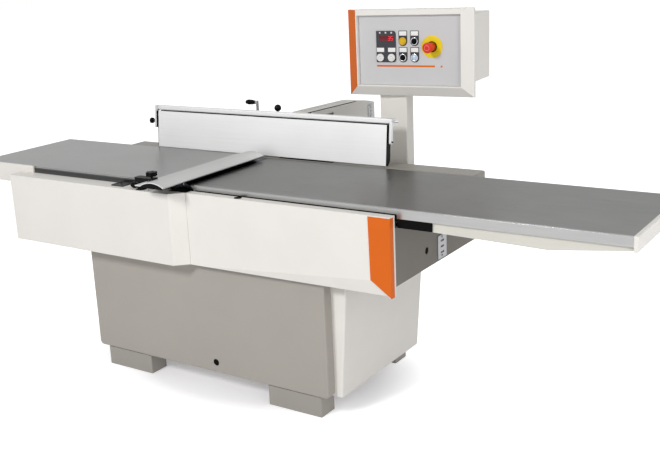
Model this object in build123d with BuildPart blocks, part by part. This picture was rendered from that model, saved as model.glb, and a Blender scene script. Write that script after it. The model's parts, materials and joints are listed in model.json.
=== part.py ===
"""Surface planer on a sheet-steel base, with tilting fence, bridge guard and swivel control panel.

Millimetres, +Z up, the floor is Z = 0. X runs along the tables, the infeed end is +X, and the operator
stands at -Y. While modelling, Y = 0 is the middle of the table width. Each finished piece is shifted so
that the whole machine stands centred on the origin.
"""

import os
from math import atan2, cos, degrees, hypot, radians, sin

from build123d import *

os.makedirs("parts", exist_ok=True)

# Tables
infeed_length = 1733
outfeed_length = 1180
table_width = 525
table_height = 850
edge_thickness = 35
cut_depth = 5
lip_gap = 36
rib_depth = 25
rib_wall = 14
end_cap_thickness = 13
end_cap_height = 50
end_plate = 8
end_cover_wrap = 343
beam_start = 797
beam_depth = 45
wiper_start = 671
seal_depth = 8
infeed_rim = 20
edge_chamfer = 3
outfeed_rim = 9

# Cutterblock and drive
cutter_x = -270
knife_radius = 61
knife_count = 4
knife_thickness = 3
knife_slot_width = 13
knife_slot_depth = 24
journal_radius = 22.5
bearing_radius = 44
bearing_depth = 28
cutter_pulley_radius = 42
motor_pulley_radius = 75
pulley_width = 42
motor_x = 40
motor_height = 132
motor_radius = 105
motor_length = 290
motor_shaft_radius = 19

# Base, frame and covers
foot_length = 243
foot_depth = 90
foot_height = 80
base_left = -850
base_right = 436
base_taper_left = 20
base_taper_right = 37
frame_left = -1058
frame_right = 640
frame_drop = 297
journal_clearance = 3.5
frame_wall = 8
sheet = 3
cover_top_drop = 28
cover_bottom_drop = 313
apron_right = 665
apron_front_gap = 37.5
apron_hole_x = 19
apron_hole_radius = 13
housing_left = -1174
housing_front_gap = 82.5
housing_chamfer_x = 50
facet_rise = 55
facet_depth = 20
strip_width = 80
strip_wrap = 21
panel_left = -814
panel_right = 367
panel_depth = 45
panel_hole_radius = 14
rail_right = 706
rail_depth = 107
rail_drop = 5
frame_hole_radius = 13
duct_radius = 60
duct_bend = 150

# Fence
fence_left = -869
fence_right = 328
fence_height = 161
fence_thickness = 28
fence_lean = 6
fence_gap = 9.5
fence_lift = 2
hinge_back = 12
hinge_up = 14
hinge_pin_radius = 6
hinge_width = 40
fence_travel = 510
bar_width = 70
bar_height = 40
bar_x = -184.5
cover_width = 103
cover_rise = 163
cover_fall = 8.5
cover_flange = 25
cover_rear_gap = 718.5
aux_thickness = 28
aux_height = 22
aux_gap = 4
aux_setback = 9.5
aux_pivot_back = 4.5
arm_thickness = 10
arm_width = 12
arm_head = 25.5
end_cap_width = 3
spacer_width = 8
stud_radius = 3.5
crank_x = -430
crank_rise = 202
crank_arm = 11
grip_length = 52
lever_x = -318
lever_rise = 174
ball_radius = 15.5

# Bridge guard
guard_centre_x = -294.5
guard_width = 141
guard_front_gap = 155
guard_rear_gap = 50.5
guard_lift = 12
guard_crown = 20
guard_sheet = 4
guard_flange = 25
guard_post_radius = 12
holder_x = -430
holder_front = 54
star_radius = 17

# Control panel
post_x = 277
post_width = 122
post_depth = 60
post_rise = 258
panel_turn = 5
panel_x = 366
panel_y_gap = 157
panel_rise = 429
rim_width = 528
rim_height = 339
rim_bevel = 31.5
rim_edge = 12
rim_lip = 4.5
rim_recess = 18
rim_bevel_left = 46
rim_bevel_right = 39
rim_bevel_bottom = 39.5
rim_band_top = 22
box_depth = 178
box_width = 523
box_height = 258
box_shift = 17
face_thickness = 2
button_radius = 11
button_root = 14
button_stand = 9
estop_travel = 5
contact_wall = 3
swivel_radius = 20
hub_radius = 36

# Fits
running_fit = 0.04
slide_fit = 0.2
pin_play = 0.3
gap = 0.5

# Places that follow from the sizes above
infeed_end = cutter_x + infeed_length
outfeed_end = cutter_x - outfeed_length
half_width = table_width / 2
infeed_top = table_height - cut_depth
infeed_bottom = infeed_top - edge_thickness
outfeed_bottom = table_height - edge_thickness
rib_bottom = outfeed_bottom - rib_depth
cutter_z = table_height - knife_radius
block_radius = knife_radius - 1
block_length = table_width - 15
frame_bottom = table_height - frame_drop
frame_top = cutter_z - journal_radius - journal_clearance
frame_front = -half_width - 3.5
frame_rear = half_width + 171.5
rear_line = half_width + 112.5
base_front = -half_width + 42.5
base_rear = rear_line
cover_top = table_height - cover_top_drop
cover_bottom = table_height - cover_bottom_drop
cover_back = frame_front
apron_front = -half_width - apron_front_gap
housing_front = -half_width - housing_front_gap
housing_right = cutter_x + 47
rail_top = table_height - rail_drop
rail_front = rear_line - rail_depth
fence_y = half_width + fence_gap
guard_front = -half_width - guard_front_gap
guard_rear = half_width - guard_rear_gap
guide_front = rear_line + 29
guide_back = guide_front + 36
cover_front = guide_back + 12
cover_rear = half_width + cover_rear_gap
length_centre = (infeed_end + outfeed_end) / 2
depth_centre = (guard_front + cover_rear) / 2


def keep(piece, label):
    """Shift a finished piece to the machine's own origin, name it and write it."""
    placed = piece.moved(Location((-length_centre, -depth_centre, 0)))
    placed.label = label
    export_step(placed, f"parts/{label}.step")


def block(xs, ys, zs, mode=Mode.ADD):
    """A box between two X, two Y and two Z values, in the part that is being built."""
    with Locations((sum(xs) / 2, sum(ys) / 2, sum(zs) / 2)):
        Box(xs[1] - xs[0], ys[1] - ys[0], zs[1] - zs[0], mode=mode)


def prism(points, plane, depth, mode=Mode.ADD):
    """A polygon on a plane, extruded along the plane's normal."""
    with BuildSketch(plane) as outline:
        with BuildLine():
            Polyline(*points, close=True)
        make_face()
    extrude(outline.sketch, amount=depth, mode=mode)


def across(y):
    """Plane that looks along +Y at a given Y: local x is X, local y is Z, and it extrudes towards -Y."""
    return Plane.XZ.offset(-y)


def rod(radius, start, end, mode=Mode.ADD):
    """A round rod between two points."""
    direction = Vector(*end) - Vector(*start)
    with BuildSketch(Plane(origin=start, z_dir=direction)) as section:
        Circle(radius)
    extrude(section.sketch, amount=direction.length, mode=mode)


# Feet under the base
foot_xs = (panel_left + 48 + foot_length / 2, panel_right - 37 - foot_length / 2)
foot_ys = (base_front - 40 + foot_depth / 2, base_rear + 21 - foot_depth / 2)
with BuildPart() as feet:
    with BuildSketch():
        with Locations(*[(x, y) for x in foot_xs for y in foot_ys]):
            RectangleRounded(foot_length, foot_depth, 3)
    extrude(amount=foot_height)
keep(feet.part, "feet")

# Base cabinet: a tapered tray of folded sheet, open at the top, with a service opening behind the front panel
duct_z = frame_bottom - 203


def base_section(z, inset):
    """Outline of the tapered base at a height, moved in by the sheet."""
    share = (z - foot_height) / (frame_bottom - foot_height)
    left = base_left + base_taper_left * (1 - share) + inset
    right = base_right - base_taper_right * (1 - share) - inset
    with BuildSketch(Plane.XY.offset(z)) as section:
        with Locations(((left + right) / 2, (base_front + base_rear) / 2)):
            RectangleRounded(right - left, base_rear - base_front - 2 * inset, 8 - inset)
    return section.sketch.face()


with BuildPart() as base_cabinet:
    loft([base_section(foot_height, 0), base_section(frame_bottom, 0)], ruled=True)
    loft([base_section(foot_height + sheet, sheet), base_section(frame_bottom + 1, sheet)], ruled=True,
         mode=Mode.SUBTRACT)
    block((panel_left + 60, panel_right - 60), (base_front - 1, base_front + sheet + 1),
          (foot_height + 60, frame_bottom - 40), Mode.SUBTRACT)
    rod(duct_radius - sheet + gap, (base_left - 10, 0, duct_z), (base_left + 60, 0, duct_z), Mode.SUBTRACT)
keep(base_cabinet.part, "base_cabinet")

# Front panel: a folded pan on the front of the base
pan_bottom = foot_height + 2
pan_top = cover_bottom + 8
with BuildPart() as front_panel:
    with BuildSketch(across(base_front)):
        with Locations(((panel_left + panel_right) / 2, (pan_bottom + pan_top) / 2)):
            RectangleRounded(panel_right - panel_left, pan_top - pan_bottom, 18)
    extrude(amount=panel_depth)
    fillet(front_panel.faces().sort_by(Axis.Y)[0].edges(), 7)
    offset(amount=-sheet, openings=front_panel.faces().sort_by(Axis.Y)[-1])
    rod(panel_hole_radius, (cutter_x + 108, base_front - panel_depth - 1, pan_bottom + 44),
        (cutter_x + 108, base_front - panel_depth + 10, pan_bottom + 44), Mode.SUBTRACT)
keep(front_panel.part, "front_panel")

# Upper frame: an open welded box with two cross beams that carry the outfeed table
outfeed_beams = (frame_left + 108, cutter_x - 180)
beam_half = 30
belt_x = cutter_x + (motor_x - cutter_x) * (cutter_z - frame_bottom) / (cutter_z - foot_height - motor_height)
belt_front = rear_line - 75
belt_back = belt_front + pulley_width
with BuildPart() as upper_frame:
    block((frame_left, frame_right), (frame_front, frame_rear), (frame_bottom, frame_top))
    fillet(upper_frame.edges().filter_by(Axis.Z), 6)
    offset(amount=-frame_wall, openings=upper_frame.faces().sort_by(Axis.Z)[-1])
    for beam_x in outfeed_beams:
        block((beam_x - beam_half, beam_x + beam_half), (frame_front + frame_wall, frame_rear - frame_wall),
              (frame_top - 60, frame_top))
        block((beam_x - beam_half, beam_x + beam_half), (-half_width + 30, half_width - 30),
              (frame_top, rib_bottom))
    block((frame_left + frame_wall, frame_right - frame_wall), (rear_line - 12, frame_rear - frame_wall),
          (frame_top - 2 * sheet, frame_top))
    block((belt_x - 120, belt_x + 120), (belt_front - 8, belt_back + 8),
          (frame_bottom - 1, frame_bottom + frame_wall + 1), Mode.SUBTRACT)
    rod(duct_radius - sheet + gap, (cutter_x, 0, frame_bottom - 1),
        (cutter_x, 0, frame_bottom + frame_wall + 1), Mode.SUBTRACT)
    rod(frame_hole_radius, (frame_right - 20, 8, frame_bottom + 66), (frame_right + 1, 8, frame_bottom + 66),
        Mode.SUBTRACT)
keep(upper_frame.part, "upper_frame")

# Rear rail: a folded channel behind the tables, open below, with a notch for the rear bearing
with BuildPart() as rear_rail:
    block((frame_left, rail_right), (rail_front, rear_line), (frame_top, rail_top))
    end_edge = rear_rail.faces().sort_by(Axis.X)[-1].edges().filter_by(Axis.Z)
    fillet(end_edge, 12)
    fillet(rear_rail.faces().sort_by(Axis.Z)[-1].edges(), 6)
    offset(amount=-sheet, openings=rear_rail.faces().sort_by(Axis.Z)[0])
    block((cutter_x - bearing_radius - 3, cutter_x + bearing_radius + 3),
          (rail_front - 1, rail_front + sheet + 1), (frame_top - 1, cutter_z + bearing_radius + 2),
          Mode.SUBTRACT)
keep(rear_rail.part, "rear_rail")

# Apron: front cover on the infeed side, with a triangular facet folded back along its lower edge
apron_left = housing_right + 1
facet_left = apron_left + 60
facet_top = (apron_right - strip_width, cover_bottom + facet_rise)


def facet_cut(back):
    """Remove the wedge below the facet from the part that is being built, set back by the sheet where asked."""
    with BuildSketch(across(apron_front + back)) as facet_base:
        with BuildLine():
            Polyline((facet_left, cover_bottom), facet_top, (apron_right - 1, cover_bottom), close=True)
        make_face()
    root = Vertex(apron_right - 30, apron_front + facet_depth + back, cover_bottom)
    loft([facet_base.sketch.face(), root], ruled=True, mode=Mode.SUBTRACT)


def cover_brackets(xs, front):
    """Tabs that carry a front cover on the front wall of the frame."""
    for x in xs:
        block((x - 20, x + 20), (front + sheet, frame_front), (frame_top - 60, frame_top - 56))


with BuildPart() as apron_void:
    block((apron_left - 1, apron_right - sheet), (apron_front + sheet, cover_back + 1),
          (cover_bottom - 1, cover_top - sheet))
    facet_cut(sheet)

with BuildPart() as apron:
    block((apron_left, apron_right), (apron_front, cover_back), (cover_bottom, cover_top))
    facet_cut(0)
    add(apron_void.part, mode=Mode.SUBTRACT)
    cover_brackets((apron_left + 60, frame_right - 60), apron_front)
    hole_y = (apron_front + cover_back) / 2
    rod(apron_hole_radius, (apron_hole_x, hole_y, cover_top - 10), (apron_hole_x, hole_y, cover_top + 1),
        Mode.SUBTRACT)
keep(apron.part, "apron")

# Orange strip on the right end of the apron, wrapped round the corner and cut along the facet
strip_thickness = 1.5
with BuildPart() as apron_strip:
    prism([(facet_top[0] - 4, cover_top - 4), (apron_right + strip_thickness, cover_top - 4),
           (apron_right + strip_thickness, cover_bottom + 1), (facet_top[0], facet_top[1] + 2)],
          across(apron_front), strip_thickness)
    block((apron_right, apron_right + strip_thickness), (apron_front, apron_front + strip_wrap),
          (cover_bottom + 1, cover_top - 4))
keep(apron_strip.part, "apron_strip")

# Front housing: the deeper cover on the outfeed side, with a chamfered corner and a cut-out for a bearing
housing_back = -half_width - end_plate - gap
housing_corner = housing_right - housing_chamfer_x
with BuildPart() as front_housing:
    prism([(housing_left, housing_back), (housing_left, housing_front), (housing_corner, housing_front),
           (housing_right, apron_front), (housing_right, housing_back)],
          Plane.XY.offset(cover_bottom), cover_top - cover_bottom)
    open_sides = [front_housing.faces().sort_by(Axis.Y)[-1], front_housing.faces().sort_by(Axis.X)[-1]]
    offset(amount=-sheet, openings=open_sides)
    block((cutter_x - bearing_radius - 4, housing_right + 1),
          (cover_back - bearing_depth - 2, housing_back + 1), (cover_top - 10, cover_top + 1), Mode.SUBTRACT)
    rod(guard_post_radius + 10, (holder_x, -half_width - holder_front, cover_top - 10),
        (holder_x, -half_width - holder_front, cover_top + 1), Mode.SUBTRACT)
    cover_brackets((frame_left + 60, holder_x - 120), housing_front)
keep(front_housing.part, "front_housing")

# Tables: ribbed castings whose lips are hollowed round the cutterblock
lift_shaft_xs = (cutter_x + 330, cutter_x + 730)
lift_arm = 120
lift_z = frame_bottom + 137
lug_ys = (half_width - 107, half_width - 92)
lug_radius = 18
lift_pin_radius = 8
screw_x = cutter_x + 590
screw_radius = 12
screw_top = infeed_bottom - 10
seal_start = cutter_x + 70


def ribbed_plate(x_range, z_range, rib_range, cells):
    """A table plate with a rib frame under part of its length."""
    block(x_range, (-half_width, half_width), z_range)
    rib_ys = (-half_width + 32, half_width - 32)
    block(rib_range, rib_ys, (z_range[0] - rib_depth, z_range[0]))
    cell_x = (rib_range[1] - rib_range[0] - rib_wall) / cells
    cell_y = (rib_ys[1] - rib_ys[0] - rib_wall) / 2
    with Locations((sum(rib_range) / 2, 0, z_range[0] - rib_depth / 2)):
        with GridLocations(cell_x, cell_y, cells, 2):
            Box(cell_x - rib_wall, cell_y - rib_wall, rib_depth, mode=Mode.SUBTRACT)


with BuildPart() as infeed_table:
    ribbed_plate((cutter_x + lip_gap, infeed_end - end_cap_thickness), (infeed_bottom, infeed_top),
                 (cutter_x + 100, beam_start - 17), 5)
    chamfer(infeed_table.faces().sort_by(Axis.Z)[-1].edges().sort_by(Axis.Y)[0], edge_chamfer)
    block((seal_start, wiper_start), (-half_width - 1, -half_width + seal_depth),
          (infeed_bottom - 1, infeed_top - infeed_rim), Mode.SUBTRACT)
    rod(knife_radius + 8, (cutter_x, -half_width - 1, cutter_z), (cutter_x, half_width + 1, cutter_z),
        Mode.SUBTRACT)
    for shaft_x in lift_shaft_xs:
        for side in (-1, 1):
            lug_y = sorted((side * lug_ys[0], side * lug_ys[1]))
            pin_x = shaft_x + lift_arm
            block((pin_x - lug_radius, pin_x + lug_radius), lug_y, (lift_z, infeed_bottom))
            rod(lug_radius, (pin_x, lug_y[0], lift_z), (pin_x, lug_y[1], lift_z))
            rod(lift_pin_radius + pin_play, (pin_x, lug_y[0] - 1, lift_z), (pin_x, lug_y[1] + 1, lift_z),
                Mode.SUBTRACT)
    rod(32, (screw_x, 0, infeed_bottom - 50), (screw_x, 0, infeed_bottom))
    rod(screw_radius + running_fit, (screw_x, 0, infeed_bottom - 51), (screw_x, 0, infeed_bottom),
        Mode.SUBTRACT)
keep(infeed_table.part, "infeed_table")

with BuildPart() as outfeed_table:
    ribbed_plate((outfeed_end + end_plate, cutter_x - lip_gap), (outfeed_bottom, table_height),
                 (outfeed_end + 60, cutter_x - 100), 5)
    block((outfeed_end + end_cover_wrap, cutter_x - 66), (-half_width - 1, -half_width + seal_depth),
          (outfeed_bottom - 1, table_height - outfeed_rim), Mode.SUBTRACT)
    rod(knife_radius + 5, (cutter_x, -half_width - 1, cutter_z), (cutter_x, half_width + 1, cutter_z),
        Mode.SUBTRACT)
keep(outfeed_table.part, "outfeed_table")

# Under-beam of the infeed table: a folded tray that is deepest in the middle of its length
beam_end = infeed_end - end_cap_thickness
beam_low_x = beam_start + 0.6 * (beam_end - beam_start)
beam_ys = (-half_width + 12, half_width - 12)
with BuildPart() as infeed_beam:
    prism([(beam_start, infeed_bottom), (beam_start, infeed_bottom - beam_depth + 10),
           (beam_low_x, infeed_bottom - beam_depth), (beam_end, infeed_bottom - 14), (beam_end, infeed_bottom)],
          across(beam_ys[1]), beam_ys[1] - beam_ys[0])
    offset(amount=-sheet, openings=infeed_beam.faces().sort_by(Axis.Z)[-1])
keep(infeed_beam.part, "infeed_beam")

# End cap on the infeed table
with BuildPart() as infeed_end_cap:
    block((beam_end, infeed_end), (-half_width, half_width), (infeed_top - end_cap_height, infeed_top))
    fillet(infeed_end_cap.faces().sort_by(Axis.X)[-1].edges(), 3)
keep(infeed_end_cap.part, "infeed_end_cap")

# Black wiper: a strip in the milled step over the apron, and a deeper one between apron and beam
with BuildPart() as infeed_wiper:
    block((wiper_start, beam_start - gap), (-half_width + 2, -half_width + 24),
          (infeed_bottom - 33, infeed_bottom))
    fillet(infeed_wiper.faces().sort_by(Axis.Z)[0].edges().filter_by(Axis.X), 4)
    seal_back = -half_width + seal_depth
    block((seal_start, wiper_start), (-half_width - 2, seal_back), (infeed_bottom, infeed_top - infeed_rim))
    block((wiper_start - 20, wiper_start), (-half_width + 2, seal_back), (infeed_bottom - 8, infeed_bottom))
keep(infeed_wiper.part, "infeed_wiper")

# Cover round the outfeed end and the corner of the front edge
with BuildPart() as outfeed_end_cover:
    prism([(outfeed_end, half_width), (outfeed_end, -half_width - end_plate),
           (outfeed_end + end_cover_wrap, -half_width - end_plate), (outfeed_end + end_cover_wrap, -half_width),
           (outfeed_end + end_plate, -half_width), (outfeed_end + end_plate, half_width)],
          Plane.XY.offset(table_height - 80), 80)
    fillet(outfeed_end_cover.edges().filter_by(Axis.Z).sort_by(lambda e: e.center().X + e.center().Y)[0], 6)
keep(outfeed_end_cover.part, "outfeed_end_cover")

# Bearings of the cutterblock: a ring on a foot at each end
front_bearing_y = (frame_front - bearing_depth, frame_front)
rear_bearing_y = (rail_front, rail_front + bearing_depth)
bearing_feet = (frame_bottom + 90, frame_bottom + frame_wall)
with BuildPart() as bearings:
    for bearing_y, foot_z in zip((front_bearing_y, rear_bearing_y), bearing_feet):
        with BuildSketch(across(bearing_y[1])) as bearing_outline:
            with Locations((cutter_x, cutter_z)):
                Circle(bearing_radius)
            with Locations((cutter_x, (cutter_z + foot_z) / 2)):
                Rectangle(2 * bearing_radius, cutter_z - foot_z)
            with Locations((cutter_x, cutter_z)):
                Circle(journal_radius + running_fit, mode=Mode.SUBTRACT)
        extrude(bearing_outline.sketch, amount=bearing_depth)
keep(bearings.part, "bearings")

# Cutterblock with four knife slots, and its journals
front_journal = front_bearing_y[0] + 1
rear_journal = belt_back + 2
slot_floor = block_radius - knife_slot_depth
with BuildPart() as cutterblock:
    rod(block_radius, (cutter_x, -block_length / 2, cutter_z), (cutter_x, block_length / 2, cutter_z))
    rod(journal_radius, (cutter_x, front_journal, cutter_z), (cutter_x, rear_journal, cutter_z))
    with BuildSketch(across(block_length / 2 + 1)) as slots:
        with Locations((cutter_x, cutter_z)):
            with PolarLocations(slot_floor + knife_slot_depth / 2 + 5, knife_count):
                Rectangle(knife_slot_depth + 10, knife_slot_width)
    extrude(slots.sketch, amount=block_length + 2, mode=Mode.SUBTRACT)
keep(cutterblock.part, "cutterblock")

# Knives and wedges in the slots
with BuildPart() as knives:
    with BuildSketch(across(block_length / 2)):
        with Locations((cutter_x, cutter_z)):
            with PolarLocations((slot_floor + knife_radius) / 2, knife_count):
                with Locations((0, -knife_slot_width / 2 + knife_thickness / 2)):
                    Rectangle(knife_radius - slot_floor - 0.2, knife_thickness)
    extrude(amount=block_length)
keep(knives.part, "knives")

wedge_width = knife_slot_width - knife_thickness
with BuildPart() as knife_wedges:
    with BuildSketch(across(block_length / 2)):
        with Locations((cutter_x, cutter_z)):
            with PolarLocations(slot_floor + knife_slot_depth / 2, knife_count):
                with Locations((0, knife_thickness / 2)):
                    Rectangle(knife_slot_depth - 3, wedge_width)
    extrude(amount=block_length)
keep(knife_wedges.part, "knife_wedges")


def pulley(axis_x, axis_z, radius, bore):
    """A three-groove pulley on an axis along Y."""
    groove = pulley_width / 7
    points = [(bore, 0), (radius, 0)]
    for turn in range(3):
        start = groove * (2 * turn + 1)
        points += [(radius, start), (radius - 6, start + groove / 3), (radius - 6, start + groove * 2 / 3),
                   (radius, start + groove)]
    points += [(radius, pulley_width), (bore, pulley_width)]
    axis = Axis((axis_x, belt_front, axis_z), (0, 1, 0))
    with BuildSketch(Plane(origin=(axis_x, belt_front, axis_z), x_dir=(1, 0, 0), z_dir=(0, 0, 1))) as profile:
        with BuildLine():
            Polyline(*points, close=True)
        make_face()
    revolve(profile.sketch, axis=axis)


with BuildPart() as cutter_pulley:
    pulley(cutter_x, cutter_z, cutter_pulley_radius, journal_radius + running_fit)
keep(cutter_pulley.part, "cutter_pulley")

motor_z = foot_height + sheet + motor_height
motor_end = belt_front - 14
with BuildPart() as motor_pulley:
    pulley(motor_x, motor_z, motor_pulley_radius, motor_shaft_radius)
    rod(motor_shaft_radius, (motor_x, motor_end - 60, motor_z), (motor_x, belt_back, motor_z))
keep(motor_pulley.part, "motor_pulley")

# Drive belt round both pulleys
belt_thickness = 8
with BuildPart() as drive_belt:
    for offset_radius, mode in ((gap + belt_thickness, Mode.ADD), (gap, Mode.SUBTRACT)):
        with BuildSketch(across(belt_back - 2)) as loop:
            with Locations((cutter_x, cutter_z)):
                Circle(cutter_pulley_radius + offset_radius)
            with Locations((motor_x, motor_z)):
                Circle(motor_pulley_radius + offset_radius)
            make_hull()
        extrude(loop.sketch, amount=pulley_width - 4, mode=mode)
keep(drive_belt.part, "drive_belt")

# Motor with cooling fins, end bells, terminal box and feet
motor_start = motor_end - motor_length
with BuildPart() as motor:
    rod(motor_radius - 14, (motor_x, motor_start, motor_z), (motor_x, motor_end, motor_z))
    with BuildSketch(across(motor_end - 50)) as fins:
        with Locations((motor_x, motor_z)):
            with PolarLocations(motor_radius - 9, 28):
                Rectangle(18, 4)
    extrude(fins.sketch, amount=motor_length - 110)
    rod(motor_radius - 4, (motor_x, motor_end - 50, motor_z), (motor_x, motor_end - 26, motor_z))
    rod(motor_radius - 2, (motor_x, motor_start, motor_z), (motor_x, motor_start + 60, motor_z))
    block((motor_x - 45, motor_x + 45), (motor_start + 110, motor_start + 200),
          (motor_z + motor_radius - 24, motor_z + motor_radius + 30))
    for side in (-1, 1):
        foot_x = sorted((motor_x + side * 60, motor_x + side * 108))
        block(foot_x, (motor_start + 80, motor_end - 60), (motor_z - motor_height, motor_z - motor_height + 16))
        block(sorted((motor_x + side * 62, motor_x + side * 78)), (motor_start + 80, motor_end - 60),
              (motor_z - motor_height, motor_z - 50))
    rod(motor_shaft_radius + running_fit, (motor_x, motor_end - 62, motor_z), (motor_x, motor_end + 1, motor_z),
        Mode.SUBTRACT)
keep(motor.part, "motor")

# Chip chute: a hood under the cutterblock that narrows to a round duct, which leaves through the left side
hood_top = cutter_z - knife_radius - 6
hood_bottom = frame_bottom + 30
duct_end = base_left - 55
with BuildPart() as chip_chute:
    for inset, mode in ((0, Mode.ADD), (sheet, Mode.SUBTRACT)):
        with BuildSketch(Plane.XY.offset(hood_top)) as mouth:
            with Locations((cutter_x, 0)):
                RectangleRounded(140 - 2 * inset, block_length - 30 - 2 * inset, 20)
        with BuildSketch(Plane.XY.offset(hood_bottom)) as throat:
            with Locations((cutter_x, 0)):
                Circle(duct_radius - sheet - inset)
        loft([mouth.sketch.face(), throat.sketch.face()], ruled=True, mode=mode)
    with BuildLine(mode=Mode.PRIVATE) as duct_route:
        FilletPolyline((cutter_x, 0, hood_bottom), (cutter_x, 0, duct_z), (duct_end, 0, duct_z),
                       radius=duct_bend)
    with BuildSketch(Plane(origin=(cutter_x, 0, hood_bottom), z_dir=(0, 0, -1))) as duct_section:
        Circle(duct_radius - sheet)
        Circle(duct_radius - 2 * sheet, mode=Mode.SUBTRACT)
    sweep(duct_section.sketch, path=duct_route.line)
    rod(duct_radius + 20, (cutter_x, 0, frame_bottom + frame_wall),
        (cutter_x, 0, frame_bottom + frame_wall + sheet))
    rod(duct_radius, (duct_end, 0, duct_z), (base_left - 2, 0, duct_z))
    rod(duct_radius - 2 * sheet, (duct_end - 1, 0, duct_z), (base_left, 0, duct_z), Mode.SUBTRACT)
    rod(duct_radius - 2 * sheet, (cutter_x, 0, frame_bottom), (cutter_x, 0, hood_bottom + 2), Mode.SUBTRACT)
keep(chip_chute.part, "chip_chute")

# Pillow blocks of the infeed lift
lift_radius = 20
pillow_ys = (half_width - 47, half_width - 27)
with BuildPart() as lift_bearings:
    for shaft_x in lift_shaft_xs:
        for side in (-1, 1):
            pillow_y = sorted((side * pillow_ys[0], side * pillow_ys[1]))
            with BuildSketch(across(pillow_y[1])) as pillow:
                with Locations((shaft_x, lift_z)):
                    Circle(36)
                with Locations((shaft_x, (lift_z + frame_bottom + frame_wall) / 2)):
                    Rectangle(72, lift_z - frame_bottom - frame_wall)
                with Locations((shaft_x, lift_z)):
                    Circle(lift_radius + running_fit, mode=Mode.SUBTRACT)
            extrude(pillow.sketch, amount=pillow_y[1] - pillow_y[0])
keep(lift_bearings.part, "lift_bearings")


def lift_shaft(shaft_x):
    """A cross shaft with an arm and a pin near each end."""
    rod(lift_radius, (shaft_x, -half_width + 22, lift_z), (shaft_x, half_width - 22, lift_z))
    for side in (-1, 1):
        arm_y = sorted((side * (lug_ys[1] + 10), side * (lug_ys[1] + 30)))
        with BuildSketch(across(arm_y[1])) as arm:
            with Locations((shaft_x, lift_z)):
                Circle(34)
            with Locations((shaft_x + lift_arm, lift_z)):
                Circle(17)
            make_hull()
        extrude(arm.sketch, amount=arm_y[1] - arm_y[0])
        rod(lift_pin_radius, (shaft_x + lift_arm, side * (lug_ys[0] - 6), lift_z),
            (shaft_x + lift_arm, side * (lug_ys[1] + 20), lift_z))


with BuildPart() as lift_shaft_inner:
    lift_shaft(lift_shaft_xs[0])
keep(lift_shaft_inner.part, "lift_shaft_inner")

with BuildPart() as lift_shaft_outer:
    lift_shaft(lift_shaft_xs[1])
keep(lift_shaft_outer.part, "lift_shaft_outer")

# Gear motor and screw that lift the infeed table
gear_bottom = frame_bottom + frame_wall
gear_top = gear_bottom + 92
with BuildPart() as lift_gearmotor:
    block((screw_x - 55, screw_x + 55), (-55, 55), (gear_bottom, gear_top))
    fillet(lift_gearmotor.edges().filter_by(Axis.Z), 14)
    chamfer(lift_gearmotor.faces().sort_by(Axis.Z)[-1].edges(), 6)
    rod(38, (screw_x, 50, gear_bottom + 44), (screw_x, 190, gear_bottom + 44))
    rod(screw_radius + running_fit, (screw_x, 0, gear_top - 40), (screw_x, 0, gear_top + 1), Mode.SUBTRACT)
keep(lift_gearmotor.part, "lift_gearmotor")

with BuildPart() as lift_screw:
    rod(screw_radius, (screw_x, 0, gear_top - 39), (screw_x, 0, screw_top))
keep(lift_screw.part, "lift_screw")

# Fence guide: a bracket on the rear of the frame with a window for the slide bar and a wing for the two levers
bar_bottom = table_height + 20
bar_top = bar_bottom + bar_height
guide_half = cover_width / 2
lever_y = guide_back + 20
wing_z = (table_height - 30, table_height - 6)
lever_pivot = (lever_x, lever_y, wing_z[1] + 13)
guide_low = frame_top - 60
window_half = bar_width / 2 + 14
lever_cheek = 6 + gap
with BuildPart() as fence_guide:
    block((bar_x - guide_half, bar_x + guide_half), (frame_rear, guide_back), (guide_low, wing_z[1]))
    block((bar_x - window_half, bar_x + window_half), (guide_front, guide_back), (wing_z[1], bar_top + 25))
    block((bar_x - guide_half, bar_x + guide_half), (guide_back, cover_front),
          (guide_low, table_height + cover_rise - 24))
    block((crank_x - 30, bar_x - guide_half), (guide_back - 10, lever_y + 22), wing_z)
    block((bar_x - bar_width / 2 - slide_fit, bar_x + bar_width / 2 + slide_fit),
          (guide_front - 1, cover_front + 1), (bar_bottom - slide_fit, bar_top + slide_fit), Mode.SUBTRACT)
    rod(14, (crank_x, lever_y, wing_z[1]), (crank_x, lever_y, wing_z[1] + 16))
    block((lever_x - 14, lever_x + 14), (lever_y - 15, lever_y + 15), (wing_z[1], lever_pivot[2] + 12))
    rod(7 + running_fit, (crank_x, lever_y, wing_z[0] - 1), (crank_x, lever_y, wing_z[1] + 17), Mode.SUBTRACT)
    block((lever_x - 15, lever_x + 15), (lever_y - lever_cheek, lever_y + lever_cheek),
          (wing_z[1], lever_pivot[2] + 13), Mode.SUBTRACT)
    rod(5, (lever_x, lever_y - 14, lever_pivot[2]), (lever_x, lever_y + 14, lever_pivot[2]))
keep(fence_guide.part, "fence_guide")

# Cover of the slide bar: a ridged sheet top that falls a little and curves down at the rear, a slot beside
# its right flange, and a cheek that closes the right side only towards the rear
cover_left, cover_right = bar_x - guide_half, bar_x + guide_half
cover_high = table_height + cover_rise
bend_start = cover_rear - 141
bend_drop = 32
cheek_front = cover_front + 173
slot_rear = bend_start
slot_width = 18


def cover_body(inset, mode):
    """The cover seen from the side, moved in by the sheet, between its two side walls."""
    front = cover_front - inset
    with BuildSketch(Plane(origin=(cover_left + inset, 0, 0), x_dir=(0, 1, 0), z_dir=(1, 0, 0))) as side:
        with BuildLine():
            bend = (bend_start, cover_high - cover_fall - inset)
            rear = (cover_rear - inset, cover_high - bend_drop - inset / 2)
            Polyline(rear, (cover_rear - inset, table_height), (front, table_height),
                     (front, cover_high - inset), bend)
            TangentArc(bend, rear, tangent=(bend_start - front, -cover_fall))
        make_face()
    extrude(side.sketch, amount=cover_width - 2 * inset, mode=mode)


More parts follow.
